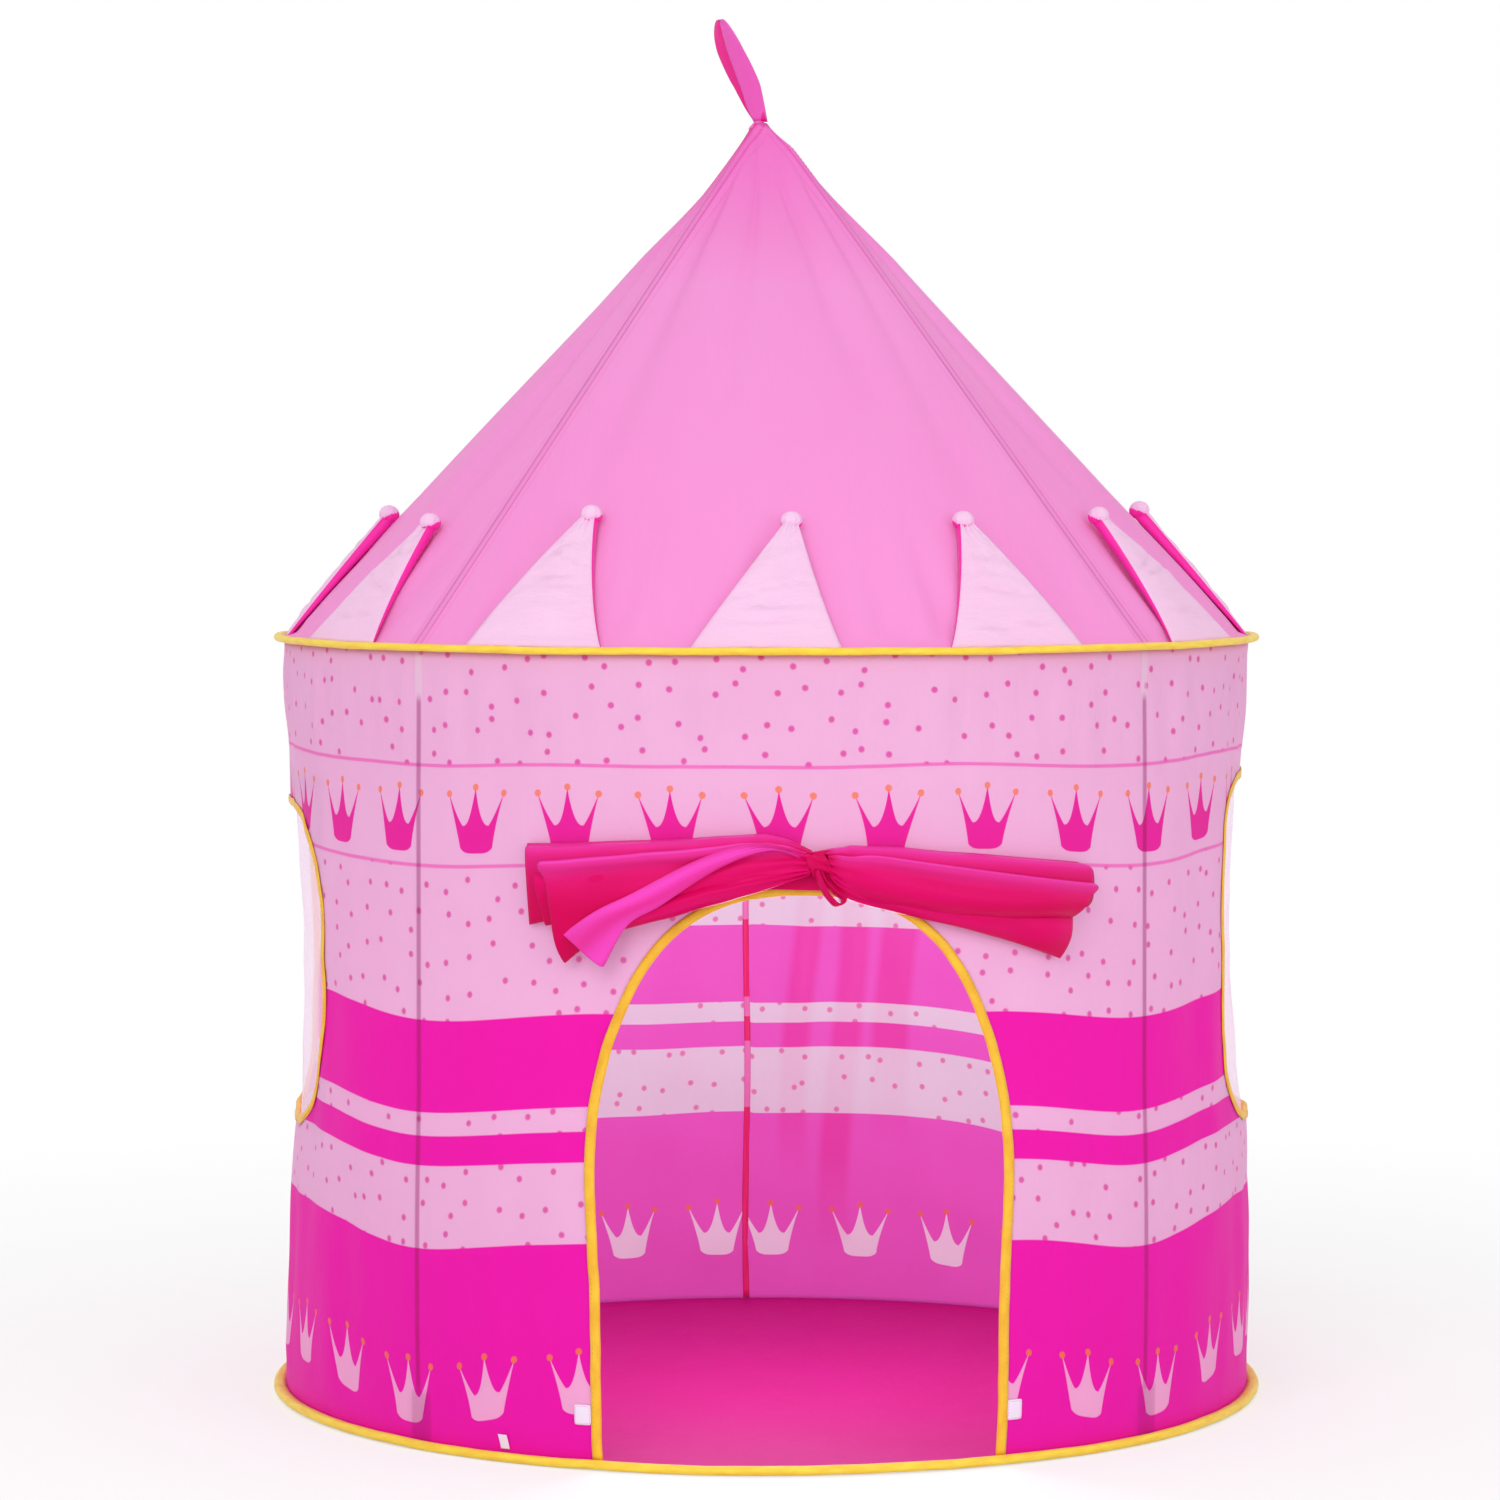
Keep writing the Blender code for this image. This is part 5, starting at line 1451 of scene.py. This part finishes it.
def buildPoint(number):
    size = pointSize
    middle = size["first"] + number * math.tau / size["count"]
    lean = size["lean"] * size["leans"][number]
    seat = size["seat"] + abs(lean) * 0.04
    length = size["length"] + size["longer"].get(number, 0)
    seed = 100 + number

    def point(across, up, lift, sag=pointSize["frontSag"]):
        along = (up * length - size["footDrop"]) / size["slant"]
        radius = mix(wallSize["eaveRadius"], roofSize["topRadius"], along)
        width = mix(size["width"], size["tip"], up ** size["taper"])
        sideways = (across - 0.5) * width + lean * up ** size["leanBend"]
        sideways = sideways + size["foot"].get(number, 0) * (1 - up) ** 1.2
        azimuth = middle + sideways / (radius + 0.7 * lift)
        return roofSpotPlain(azimuth, along, lift, sag)

    def edgeLift(up):
        return seat + mix(size["edgeFoot"], size["edgeTip"], np.clip(up, 0, 1) ** size["edgeBend"])

    def roofSpotPlain(azimuth, along, lift, sag=0.0):
        # on the straight cone at sag 0, and on the canopy as it hangs at 1
        foot, top, way = roofWay()
        hang = 1 - sag * roofSag(azimuth, np.clip(along, 0, 1))
        radius, height = mix(foot[0], top[0], along) * hang, mix(foot[1], top[1], along)
        return spot(radius + way[1] * lift, azimuth, height - way[0] * lift)

    def front(across, up):
        body = np.sin(math.pi * np.clip(across, 0, 1)) ** 0.6
        ripple = size["ripple"] * waves(across * 0.045, up * 0.16, 0.040, seed)
        ripple = ripple + size["fineRipple"] * waves(across * 0.03, up * 0.16, 0.017, seed + 50)
        # three soft creases run nearly level across the panel
        chance = np.random.default_rng(seed + 9)
        for _ in range(3):
            at, tilt, wide = chance.uniform(0.12, 0.75), chance.uniform(-0.16, 0.16), chance.uniform(0.012, 0.024)
            line = np.exp(-((up - at - tilt * (across - 0.5)) / wide) ** 2)
            ripple = ripple - size["crease"] * line * smooth(across, 0.0, 0.3)
        ripple = ripple * body * smooth(up, 0.0, 0.10) * (0.45 if number in size["calm"] else 1.0)
        gather = size["gather"] * np.cos(across * 26 + number) * smooth(up, 0.80, 1.0) * body
        puff = size["puff"] * body * np.sin(math.pi * np.clip(up * 0.9 + 0.06, 0, 1))
        return point(across, up, edgeLift(up) + puff + ripple + gather)

    columns, rows = size["columns"], size["rows"]
    across, up = np.meshgrid(np.linspace(0, 1, columns + 1), np.linspace(0, 1, rows + 1))
    fronts = front(across, up)
    # the hot pink layer: it goes straight down from the front's edge, and then lies on the roof
    step = across * columns
    inner = np.clip((step - 2) / (columns - 4), 0, 1)
    down = np.clip(np.minimum(step, columns - step) / 2, 0, 1)
    backs = point(inner, up, mix(edgeLift(up), seat, down), mix(size["frontSag"], 1.0, down))
    corners, faces = gridFaces(columns, rows)
    offset = fronts.shape[0] * fronts.shape[1]
    faces = np.concatenate((faces, faces[:, ::-1] + offset))
    uv = (corners / np.array((columns, rows)) - 0.5) * np.array((size["width"], size["length"]))
    uv = uv + np.array((0.2 * number, 0.1))
    uvs = {"cloth": np.concatenate((uv, uv[:, ::-1]))}
    points = np.concatenate((fronts.reshape(-1, 3), backs.reshape(-1, 3)))
    piece = meshPiece(f"crownPoint{number + 1}", points, faces, [pointPale, pointHot], uvs)
    marks = np.zeros(len(faces), np.int32)
    marks[len(faces) // 2:] = 1
    piece.data.polygons.foreach_set("material_index", marks)
    fillHoles(piece, 2e-5)

    # the gathered knob: a ball of the two cloths, tied at its neck
    tip = point(0.5, 1.0, seat + 0.0020)
    along = roofSpotPlain(middle + lean / 0.4, 0.9, 0) - roofSpotPlain(middle + lean / 0.4, 0.2, 0)
    along = along / np.linalg.norm(along)
    outward = roofSpotPlain(middle + lean / 0.4, 0.5, 1.0) - roofSpotPlain(middle + lean / 0.4, 0.5, 0.0)
    centre = tip + (outward * 0.5 + along * 0.25) * size["knob"]
    axis = along * 0.86 + outward * 0.5
    axis = axis / np.linalg.norm(axis)
    side = np.cross(axis, outward)
    side = side / np.linalg.norm(side)
    other = np.cross(side, axis)

    def knob(across, up):
        angle, polar = across * math.tau, mix(0.02, 0.985, up) * math.pi
        gather = 1 + size["knobGather"] * np.cos(angle * 9 + number) * np.sin(polar) * (1 - up * 0.7)
        neck = np.where(up < 0.5, 1 - 0.12 * np.cos(polar) ** 4, 1)
        r = size["knob"] * gather * neck
        flat, high = np.sin(polar) * r, -np.cos(polar) * r * 0.92
        around = np.cos(angle)[..., None] * side + np.sin(angle)[..., None] * other
        return centre + flat[..., None] * around + high[..., None] * axis

    ball = clothGrid(f"crownKnob{number + 1}", 36, 20, knob, (0.07, 0.034), [pointPale, pointHot], ring=True)
    # its top is of the pale cloth and its underside of the hot pink one
    upper = Vector(other * 0.55 + axis * 0.85)
    marks = [int((face.center - Vector(centre)).dot(upper) <= -0.0008) for face in ball.data.polygons]
    ball.data.polygons.foreach_set("material_index", np.array(marks, np.int32))
    fillHoles(ball)
    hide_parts(f"crown_point_{number + 1}")
    for each in (piece, ball):
        rideRoof(each)


for number in range(pointSize["count"]):
    buildPoint(number)
print("play tent: crown points done")


# the door curtain: its header, the loose fall and the bow that it is rolled and tied into
curtainLook = {
    "halfAzimuth": 24, "columns": 64, "rows": 20, "thickness": 0.0009,
    "headerFoot": ((-24, 590), (-10, 600), (-2, 602), (3, 590), (8, 594), (16, 588), (24, 577)),
    "headerHeight": 12.0, "raise": 4.5, "unrollStart": 0.5830, "unrollEnd": 0.5690, "unrollSlope": 0.0312,
    "hang": 0.0044, "hangFrom": (0.09, 0.60), "ripple": 0.0007, "unroll": "curtain_unroll", "seamOff": 0.0017,
    "knotThickness": 0.0012, "loopThickness": 0.0016, "loopWidth": 0.0080, "bowCloth": (0.31, 0.16),
    # the fold across the left half: its near and far edges from the knot outwards, and how far it stands out
    "fold": (((1.6, 601, 24), (0.8, 596, 25), 0), ((-3.7, 610, 31), (-2.4, 603, 32), 2.5),
             ((-9.6, 594, 33), (-7.2, 588, 35), 3.5), ((-16.6, 560, 35), (-13.0, 553, 36), 4.5),
             ((-20.8, 540, 35), (-17.0, 530, 34), 5), ((-24.0, 519, 31), (-19.9, 489, 27), 4)),
    # the small loop under the knot
    "loop": ((2.5, 584, 27), (2.9, 574, 30), (3.6, 561, 31), (4.6, 551, 30), (5.3, 552, 28), (5.4, 557, 27),
             (4.6, 562, 26), (3.4, 573, 26), (2.9, 583, 24)),
    # each layer of the bow laid flat, in the order of bowLayers, and then the fold
    "bowFlats": ((0.30, 0.118), (0.28, 0.138), (0.27, 0.09), (0.21, 0.06), (0.29, 0.095), (0.285, 0.115),
                 (0.26, 0.089), (0.24, 0.043)),
}

# each layer of the bow: stations from the knot outwards, each with its azimuth (degrees), or one for each of its
# points, and then the points' height (mm) and depth off the wall (mm) round the folded cloth
bowLayers = {
    "bowLeftBack": (
        (2.2, (600, 8), (602, 14), (600, 20), (590, 20), (588, 8)),
        (-1.0, (612, 5), (614, 13), (611, 21), (590, 19), (588, 6)),
        (-4.0, (613, 3), (616.5, 12), (612, 22), (585, 19), (583, 5)),
        (-10.0, (609, 3), (612.5, 13), (607, 24), (572, 18), (570, 4)),
        (-19.0, (604, 3), (607, 12), (600, 23), (556, 15), (554, 4)),
        ((-29.3, -29.2, -28.8, -28.9, -29.2), (598, 3), (601.5, 10), (593, 19), (536, 12), (531, 5)),
    ),
    "bowLeftMain": (
        (1.9, (598, 10), (600, 17), (598, 25), (593, 27), (588, 28), (583, 25), (580, 17), (583, 9)),
        (-1.0, (605, 8), (608, 18), (606, 27), (598, 26), (588, 29), (579, 27), (574, 17), (579, 8)),
        (-4.5, (606, 7), (610, 19), (607, 29), (596, 27), (583, 30), (571, 28), (564, 17), (571, 7)),
        (-10.0, (601, 7), (605, 20), (600, 31), (589, 27), (574, 31), (559, 28), (551, 17), (561, 7)),
        (-18.5, (594, 7), (598, 20), (592, 32), (580, 26), (560, 31), (540, 28), (530, 16), (542, 6)),
        ((-27.0, -26.9, -26.8, -26.4, -25.7, -25.0, -24.4, -25.2),
         (586, 7), (590, 18), (584, 31), (570, 24), (545, 28), (510, 27), (491, 16), (514, 6)),
    ),
    "bowLeftInner": (
        (1.2, (594, 12), (595, 18), (590, 22), (586, 18), (586, 12)),
        (-8.0, (594, 11), (596, 19), (582, 24), (566, 18), (566, 11)),
        (-18.0, (585, 10), (588, 19), (568, 25), (545, 18), (545, 10)),
        ((-27.9, -27.9, -27.6, -26.9, -27.0), (577, 9), (581, 17), (566, 23), (531, 17), (531, 10)),
    ),
    "bowLeftTwist": (
        (2.0, (588, 16), (589, 22), (584, 27), (580, 22), (581, 15)),
        (-4.0, (577, 15), (580, 25), (572, 33), (562, 26), (564, 15)),
        (-10.5, (563, 14), (565, 25), (556, 34), (544.5, 25), (547, 14)),
        (-16.5, (543, 13), (545, 22), (538, 29), (529, 23), (531, 13)),
        (-21.0, (525, 10), (526, 15), (522, 19), (518, 15), (519, 10)),
    ),
    "bowRightBack": (
        (3.4, (600, 8), (602, 14), (600, 20), (590, 20), (588, 8)),
        (5.4, (602, 5), (604.5, 12), (600, 19), (588, 18), (586, 6)),
        (8.5, (602, 3), (605.5, 12), (599, 20), (580, 18), (578, 5)),
        (20.0, (592, 3), (595, 12), (588, 20), (556, 16), (554, 4)),
        ((34.0, 34.0, 35.2, 35.3, 34.6), (579, 3), (582, 9), (575, 15), (546, 12), (541, 4)),
    ),
    "bowRightMain": (
        (3.8, (597, 10), (599, 17), (597, 25), (592, 28), (587, 28), (583, 25), (580, 17), (583, 9)),
        (6.0, (593, 8), (597, 18), (595, 28), (588, 29), (578, 30), (568, 27), (562, 17), (568, 8)),
        (10.0, (592, 7), (596, 19), (593, 30), (584, 29), (570, 32), (557, 29), (549, 17), (557, 7)),
        (20.0, (578, 6), (582, 18), (578, 30), (568, 28), (553, 32), (541, 28), (535, 16), (543, 6)),
        ((34.6, 34.9, 35.0, 34.5, 33.4, 32.4, 31.8, 32.6),
         (560, 5), (563, 15), (559, 26), (551, 23), (542, 27), (534, 24), (529, 14), (536, 5)),
    ),
    "bowRightLow": (
        (3.6, (589, 9), (590, 17), (584, 22), (580, 17), (581, 9)),
        (6.0, (575, 6), (577, 17), (564, 24), (556, 16), (558, 6)),
        (14.0, (561, 4), (563, 16), (548, 23), (536, 15), (540, 4)),
        (24.0, (548, 4), (550, 15), (530, 22), (513, 14), (517, 4)),
        ((32.2, 32.4, 31.9, 31.0, 31.3), (540, 4), (541, 12), (512, 18), (492, 12), (496, 4)),
    ),
}


def through(values, count, ring=False):
    # a smooth curve through the given points along the first axis, in this many steps
    values = np.asarray(values, float)
    last = len(values) if ring else len(values) - 1
    share = np.linspace(0, last, count + 1)[: count if ring else None]
    first = np.minimum(share.astype(int), last - 1)
    part = (share - first).reshape(-1, *[1] * (values.ndim - 1))

    def pick(step):
        at = first + step
        return values[at % len(values)] if ring else values[np.clip(at, 0, len(values) - 1)]

    a, b, c, d = (pick(step) for step in (-1, 0, 1, 2))
    straight, bent, twisted = c - a, 2 * a - 5 * b + 4 * c - d, 3 * b - a - 3 * c + d
    return 0.5 * (2 * b + straight * part + bent * part ** 2 + twisted * part ** 3)


def offWall(azimuth, height, depth):
    # degrees and mm to a point in front of the wall cloth
    turn, up = azimuth * degree, (height + curtainLook["raise"]) * mm
    return spot(wallRadius(turn, up) + depth * mm, turn, up)


def station(azimuths, *points):
    return [(azimuth, *point) for azimuth, point in zip(np.broadcast_to(azimuths, len(points)), points)]


def bowLayer(name, stations, seed, pale=None, ring=True, rows=72, around=64):
    grid = through(np.swapaxes(through(stations, rows), 0, 1), around, ring)
    out = np.linspace(0, 1, grid.shape[1])[None, :]
    turn = np.linspace(0, 1, grid.shape[0])[:, None]
    # gathers run out from the knot and fade
    near = np.exp(-out / 0.22) * smooth(out, 0.0, 0.05)
    front = np.clip(grid[..., 2] / 20, 0.15, 1)
    fold = 2.5 * near * np.cos(turn * math.tau * 7 + 1.4 * np.sin(out * 5 + seed))
    fold = fold + 1.3 * waves(turn * 0.10, out * 0.34, 0.075, seed, 5) * smooth(out, 0.05, 0.35)
    grid[..., 2] += fold * front
    grid[..., 1] += 0.5 * waves(turn * 0.10, out * 0.30, 0.06, seed + 7, 5) * smooth(out, 0.05, 0.3)
    points = offWall(grid[..., 0], grid[..., 1], grid[..., 2])
    columns, steps = grid.shape[0] if ring else grid.shape[0] - 1, grid.shape[1] - 1
    corners, faces = gridFaces(steps, columns if not ring else columns - 1)
    if ring:
        # the last strip joins the first
        seamCorners, seam = gridFaces(steps, 1)
        top = grid.shape[1]
        seam = np.where(seam < top, seam + (columns - 1) * top, seam - top)
        faces = np.concatenate((faces, seam))
        corners = np.concatenate((corners, seamCorners + np.array((0, columns - 1))))
    uvs = {"cloth": corners / np.array((steps, columns)) * np.array(curtainLook["bowCloth"])}
    piece = meshPiece(name, points, faces, [satinCloth], uvs)
    # the pale value is how much painted highlight each point gets
    shades = None if pale is None else np.broadcast_to(np.clip(pale(turn, out), 0, 1), points.shape[:2])
    pointValues(piece, "pale", shades)
    tidyNormals(piece, 1e-6)
    thicken(piece, curtainLook["thickness"])
    return piece


# painted highlights on the bow: lighter along the top of the back layers, a band and a bright line on the main layers'
# upper front edge, and the fold band lighter all along
def backTopHighlight(turn, out):
    return 0.6 * np.exp(-((turn - 0.25) / 0.16) ** 2) * smooth(out, 0.02, 0.2)


def mainEdgeHighlight(turn, out):
    band = 0.36 * np.exp(-((turn - 0.25) / 0.12) ** 2) + 0.7 * np.exp(-((turn - 0.20) / 0.025) ** 2)
    return band * smooth(out, 0.03, 0.2)


def foldBandLight(turn, out):
    return (0.5 + 0.4 * smooth(out, 0.05, 0.3)) * (0.78 + 0.26 * np.cos(turn * 9 + out * 6))


def rideBow(piece):
    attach(piece, "curtain_roll")
    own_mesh(piece)


def hangRadius(turn):
    # where the unrolled curtain hangs: clear of the wall and of the door's binding
    heights = np.linspace(*curtainLook["hangFrom"], 52)
    return np.max([wallRadius(turn, height + 0 * turn) for height in heights], axis=0) + curtainLook["hang"]


def buildCurtain():
    look = curtainLook
    half = look["halfAzimuth"] * degree

    def headerFoot(across):
        turn = mix(-half, half, across)
        return turn, np.interp(turn / degree, *zip(*look["headerFoot"])) * mm

    def header(across, up):
        turn, foot = headerFoot(across)
        height = foot + up * look["headerHeight"] * mm
        return spot(mix(hangRadius(turn), wallRadius(turn, height) + look["seamOff"], up), turn, height)

    piece = clothGrid("curtainHeader", look["columns"], 3, header, (0.428, 0.012), [satinCloth])
    pointValues(piece, "pale")
    thicken(piece, look["thickness"])
    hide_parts("curtain_header")
    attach(piece, "door_header")

    def fall(across, up):
        turn, foot = headerFoot(across)
        hem = look["unrollEnd"] - look["unrollSlope"] * np.sin(turn) * 0.513 - 0.0005
        height = mix(hem, foot + 0.001, up)
        ripple = look["ripple"] * waves(across * 0.43, up * 0.03, 0.06, 61)
        return spot(hangRadius(turn) + 0.0002 + np.abs(ripple), turn, height)

    piece = clothGrid("doorCurtain", look["columns"], look["rows"], fall, (0.428, 0.024), [satinCloth])
    pointValues(piece, "pale")
    thicken(piece, look["thickness"])
    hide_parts("door_curtain")
    # the drop from where it starts to give way down to its hem, worked out but not used
    drop = look["unrollStart"] - look["unrollEnd"]
    -drop * look["unrollSlope"]
    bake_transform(piece)

    made = []
    for number, (name, stations) in enumerate(bowLayers.items()):
        pale = {"Back": backTopHighlight, "Main": mainEdgeHighlight}.get(name[-4:])
        made.append(bowLayer(name, [station(*each) for each in stations], 40 + number, pale))

    # the fold that crosses the left half and ends in a flap, painted lighter
    band = []
    for near, far, depth in look["fold"]:
        near, far = np.array(near, float), np.array(far, float)
        middle = (near + far) / 2 + np.array((0, 0, depth))
        crest = [mix(near, middle, 0.55) + (0, 0, 1), middle, mix(middle, far, 0.5) + (0, 0, 1)]
        band.append([near - (0, 1.5, 7), near, *crest, far, far + (0, 1.0, -8)])
    made.append(bowLayer("bowLeftFold", band, 52, foldBandLight, ring=False, around=24))
    for piece in made:
        rideBow(piece)
    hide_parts("curtain_roll_left")
    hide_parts("curtain_roll_right")

    # the tie: a gathered band round the middle and one small loop below it
    def knot(across, up):
        turn = across * math.tau
        swell = 1.04 - 0.20 * np.sin(math.pi * up) + 0.09 * np.cos(turn * 6 + up * 5)
        azimuth = mix(1.7, 3.9, up) - 0.6 * np.sin(turn)
        return offWall(azimuth, 589.5 + 12.0 * swell * np.sin(turn), 16.5 + 13.0 * swell * np.cos(turn))

    piece = clothGrid("curtainTie", 48, 14, knot, (0.09, 0.021), [satinCloth], ring=True)
    pointValues(piece, "pale")
    thicken(piece, look["knotThickness"])
    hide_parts("curtain_tie")
    rideBow(piece)
    path = through([offWall(*each) for each in look["loop"]], 40)
    across = np.array((0.55, -0.75, 0.35)) * look["loopWidth"]
    strip = np.array([[point + across * share for point in path] for share in (-0.5, 0.0, 0.5)])
    corners, faces = gridFaces(40, 2)
    uvs = {"cloth": corners / np.array((40, 2)) * np.array((0.09, 0.006))}
    piece = meshPiece("curtainLoop", strip, faces, [satinCloth], uvs)
    pointValues(piece, "pale")
    thicken(piece, look["loopThickness"])
    rideBow(piece)


buildCurtain()
print("play tent: curtain done")


studio = {
    "floorGrey": 0.55, "floorHalf": 9.0, "floorLevel": -0.0002, "fade": (1.5, 1.3), "world": 0.80,
    # each soft lamp's name, place, size and power
    "lamps": (("key", (-1.6, -4.2, 2.9), 2.4, 58.0), ("fill", (2.6, -3.6, 1.4), 2.0, 22.0)), "aim": (0, 0, 0.7),
    "inside": 6.6, "insidePlace": (0, -0.10, 0.46), "insideSize": 0.16,
}
cameraLook = {
    "distance": 5.3, "azimuth": 2.6, "height": 0.957, "down": 3.037, "turn": 0.187, "lens": 119.71, "sensor": 36,
}


def buildStage():
    half = studio["floorHalf"]
    corners = [(x * half, y * half, studio["floorLevel"]) for x, y in ((-1, -1), (1, -1), (1, 1), (-1, 1))]
    stageFloor = meshPiece("stageFloor", corners, [(0, 1, 2, 3)], [], smoothShade=False)
    finish = Finish("stageFloor")
    rays = finish.make("LightPath", {}, {}, None)
    seen = rays[0].most(rays[3]).most(rays[6])
    grey = studio["floorGrey"]
    plain = finish.make("BsdfDiffuse", {}, {"Color": (0.86, 0.86, 0.86, 1)})
    shaded = finish.make("BsdfDiffuse", {}, {"Color": (1 - grey, 1 - grey, 1 - grey, 1)})
    bright = finish.make("Emission", {}, {"Color": (1, 1, 1, 1), "Strength": grey})
    both = finish.make("AddShader", {}, {0: shaded, 1: bright})
    # only the floor near the tent holds its shadow, and further off it is plain white
    place = finish.make("TexCoord", {}, {}, 3)
    away = finish.make("VectorMath", {"operation": "LENGTH"}, {0: place}, 1)
    white = finish.make("Emission", {}, {"Color": (1, 1, 1, 1), "Strength": 1.0})
    both = finish.make("MixShader", {}, {0: away.over(*studio["fade"]), 1: both, 2: white})
    stageFloor.data.materials.append(finish.end(finish.make("MixShader", {}, {0: seen, 1: plain, 2: both})))
    stageFloor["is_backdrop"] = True


def buildLight():
    world = bpy.data.worlds.new("Studio")
    scene.world = world
    world.use_nodes = True
    tree = world.node_tree
    sky = tree.nodes["Background"]
    path = tree.nodes.new("ShaderNodeLightPath")
    most = path.outputs["Is Camera Ray"]
    for name in ("Is Glossy Ray", "Is Transmission Ray"):
        either = tree.nodes.new("ShaderNodeMath")
        either.operation = "MAXIMUM"
        tree.links.new(most, either.inputs[0])
        tree.links.new(path.outputs[name], either.inputs[1])
        most = either.outputs[0]
    level = tree.nodes.new("ShaderNodeMapRange")
    level.inputs["To Min"].default_value = studio["world"]
    level.inputs["To Max"].default_value = 1.0
    tree.links.new(most, level.inputs["Value"])
    tree.links.new(level.outputs[0], sky.inputs["Strength"])
    sky.inputs["Color"].default_value = (1, 1, 1, 1)
    for name, place, size, power in studio["lamps"]:
        lamp = bpy.data.lights.new(name, "AREA")
        lamp.size, lamp.energy = size, power
        made = bpy.data.objects.new(name, lamp)
        made.location = place
        made.rotation_euler = (Vector(studio["aim"]) - Vector(place)).to_track_quat("-Z", "Y").to_euler()
        scene.collection.objects.link(made)
    # the cloth glows, so it is bright inside too
    lamp = bpy.data.lights.new("insideGlow", "POINT")
    lamp.energy, lamp.shadow_soft_size = studio["inside"], studio["insideSize"]
    made = bpy.data.objects.new("insideGlow", lamp)
    made.location = studio["insidePlace"]
    made.visible_camera = False
    scene.collection.objects.link(made)


def buildCamera():
    camera = bpy.data.objects.new("Camera", bpy.data.cameras.new("Camera"))
    scene.collection.objects.link(camera)
    scene.camera = camera
    look = cameraLook
    camera.data.sensor_width, camera.data.lens = look["sensor"], look["lens"]
    turned = look["azimuth"] * degree
    camera.location = (-look["distance"] * math.sin(turned), -look["distance"] * math.cos(turned), look["height"])
    camera.rotation_euler = ((90 - look["down"]) * degree, 0, (look["turn"] - look["azimuth"]) * degree)
    camera.data.clip_end = 60


buildStage()
buildLight()
buildCamera()
scene.view_settings.view_transform = "Standard"


def plain(box):
    return [[float(value) for value in corner] for corner in box]


{"cad": plain(cadBox), "visual": plain(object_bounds())}
print("play tent: all done")
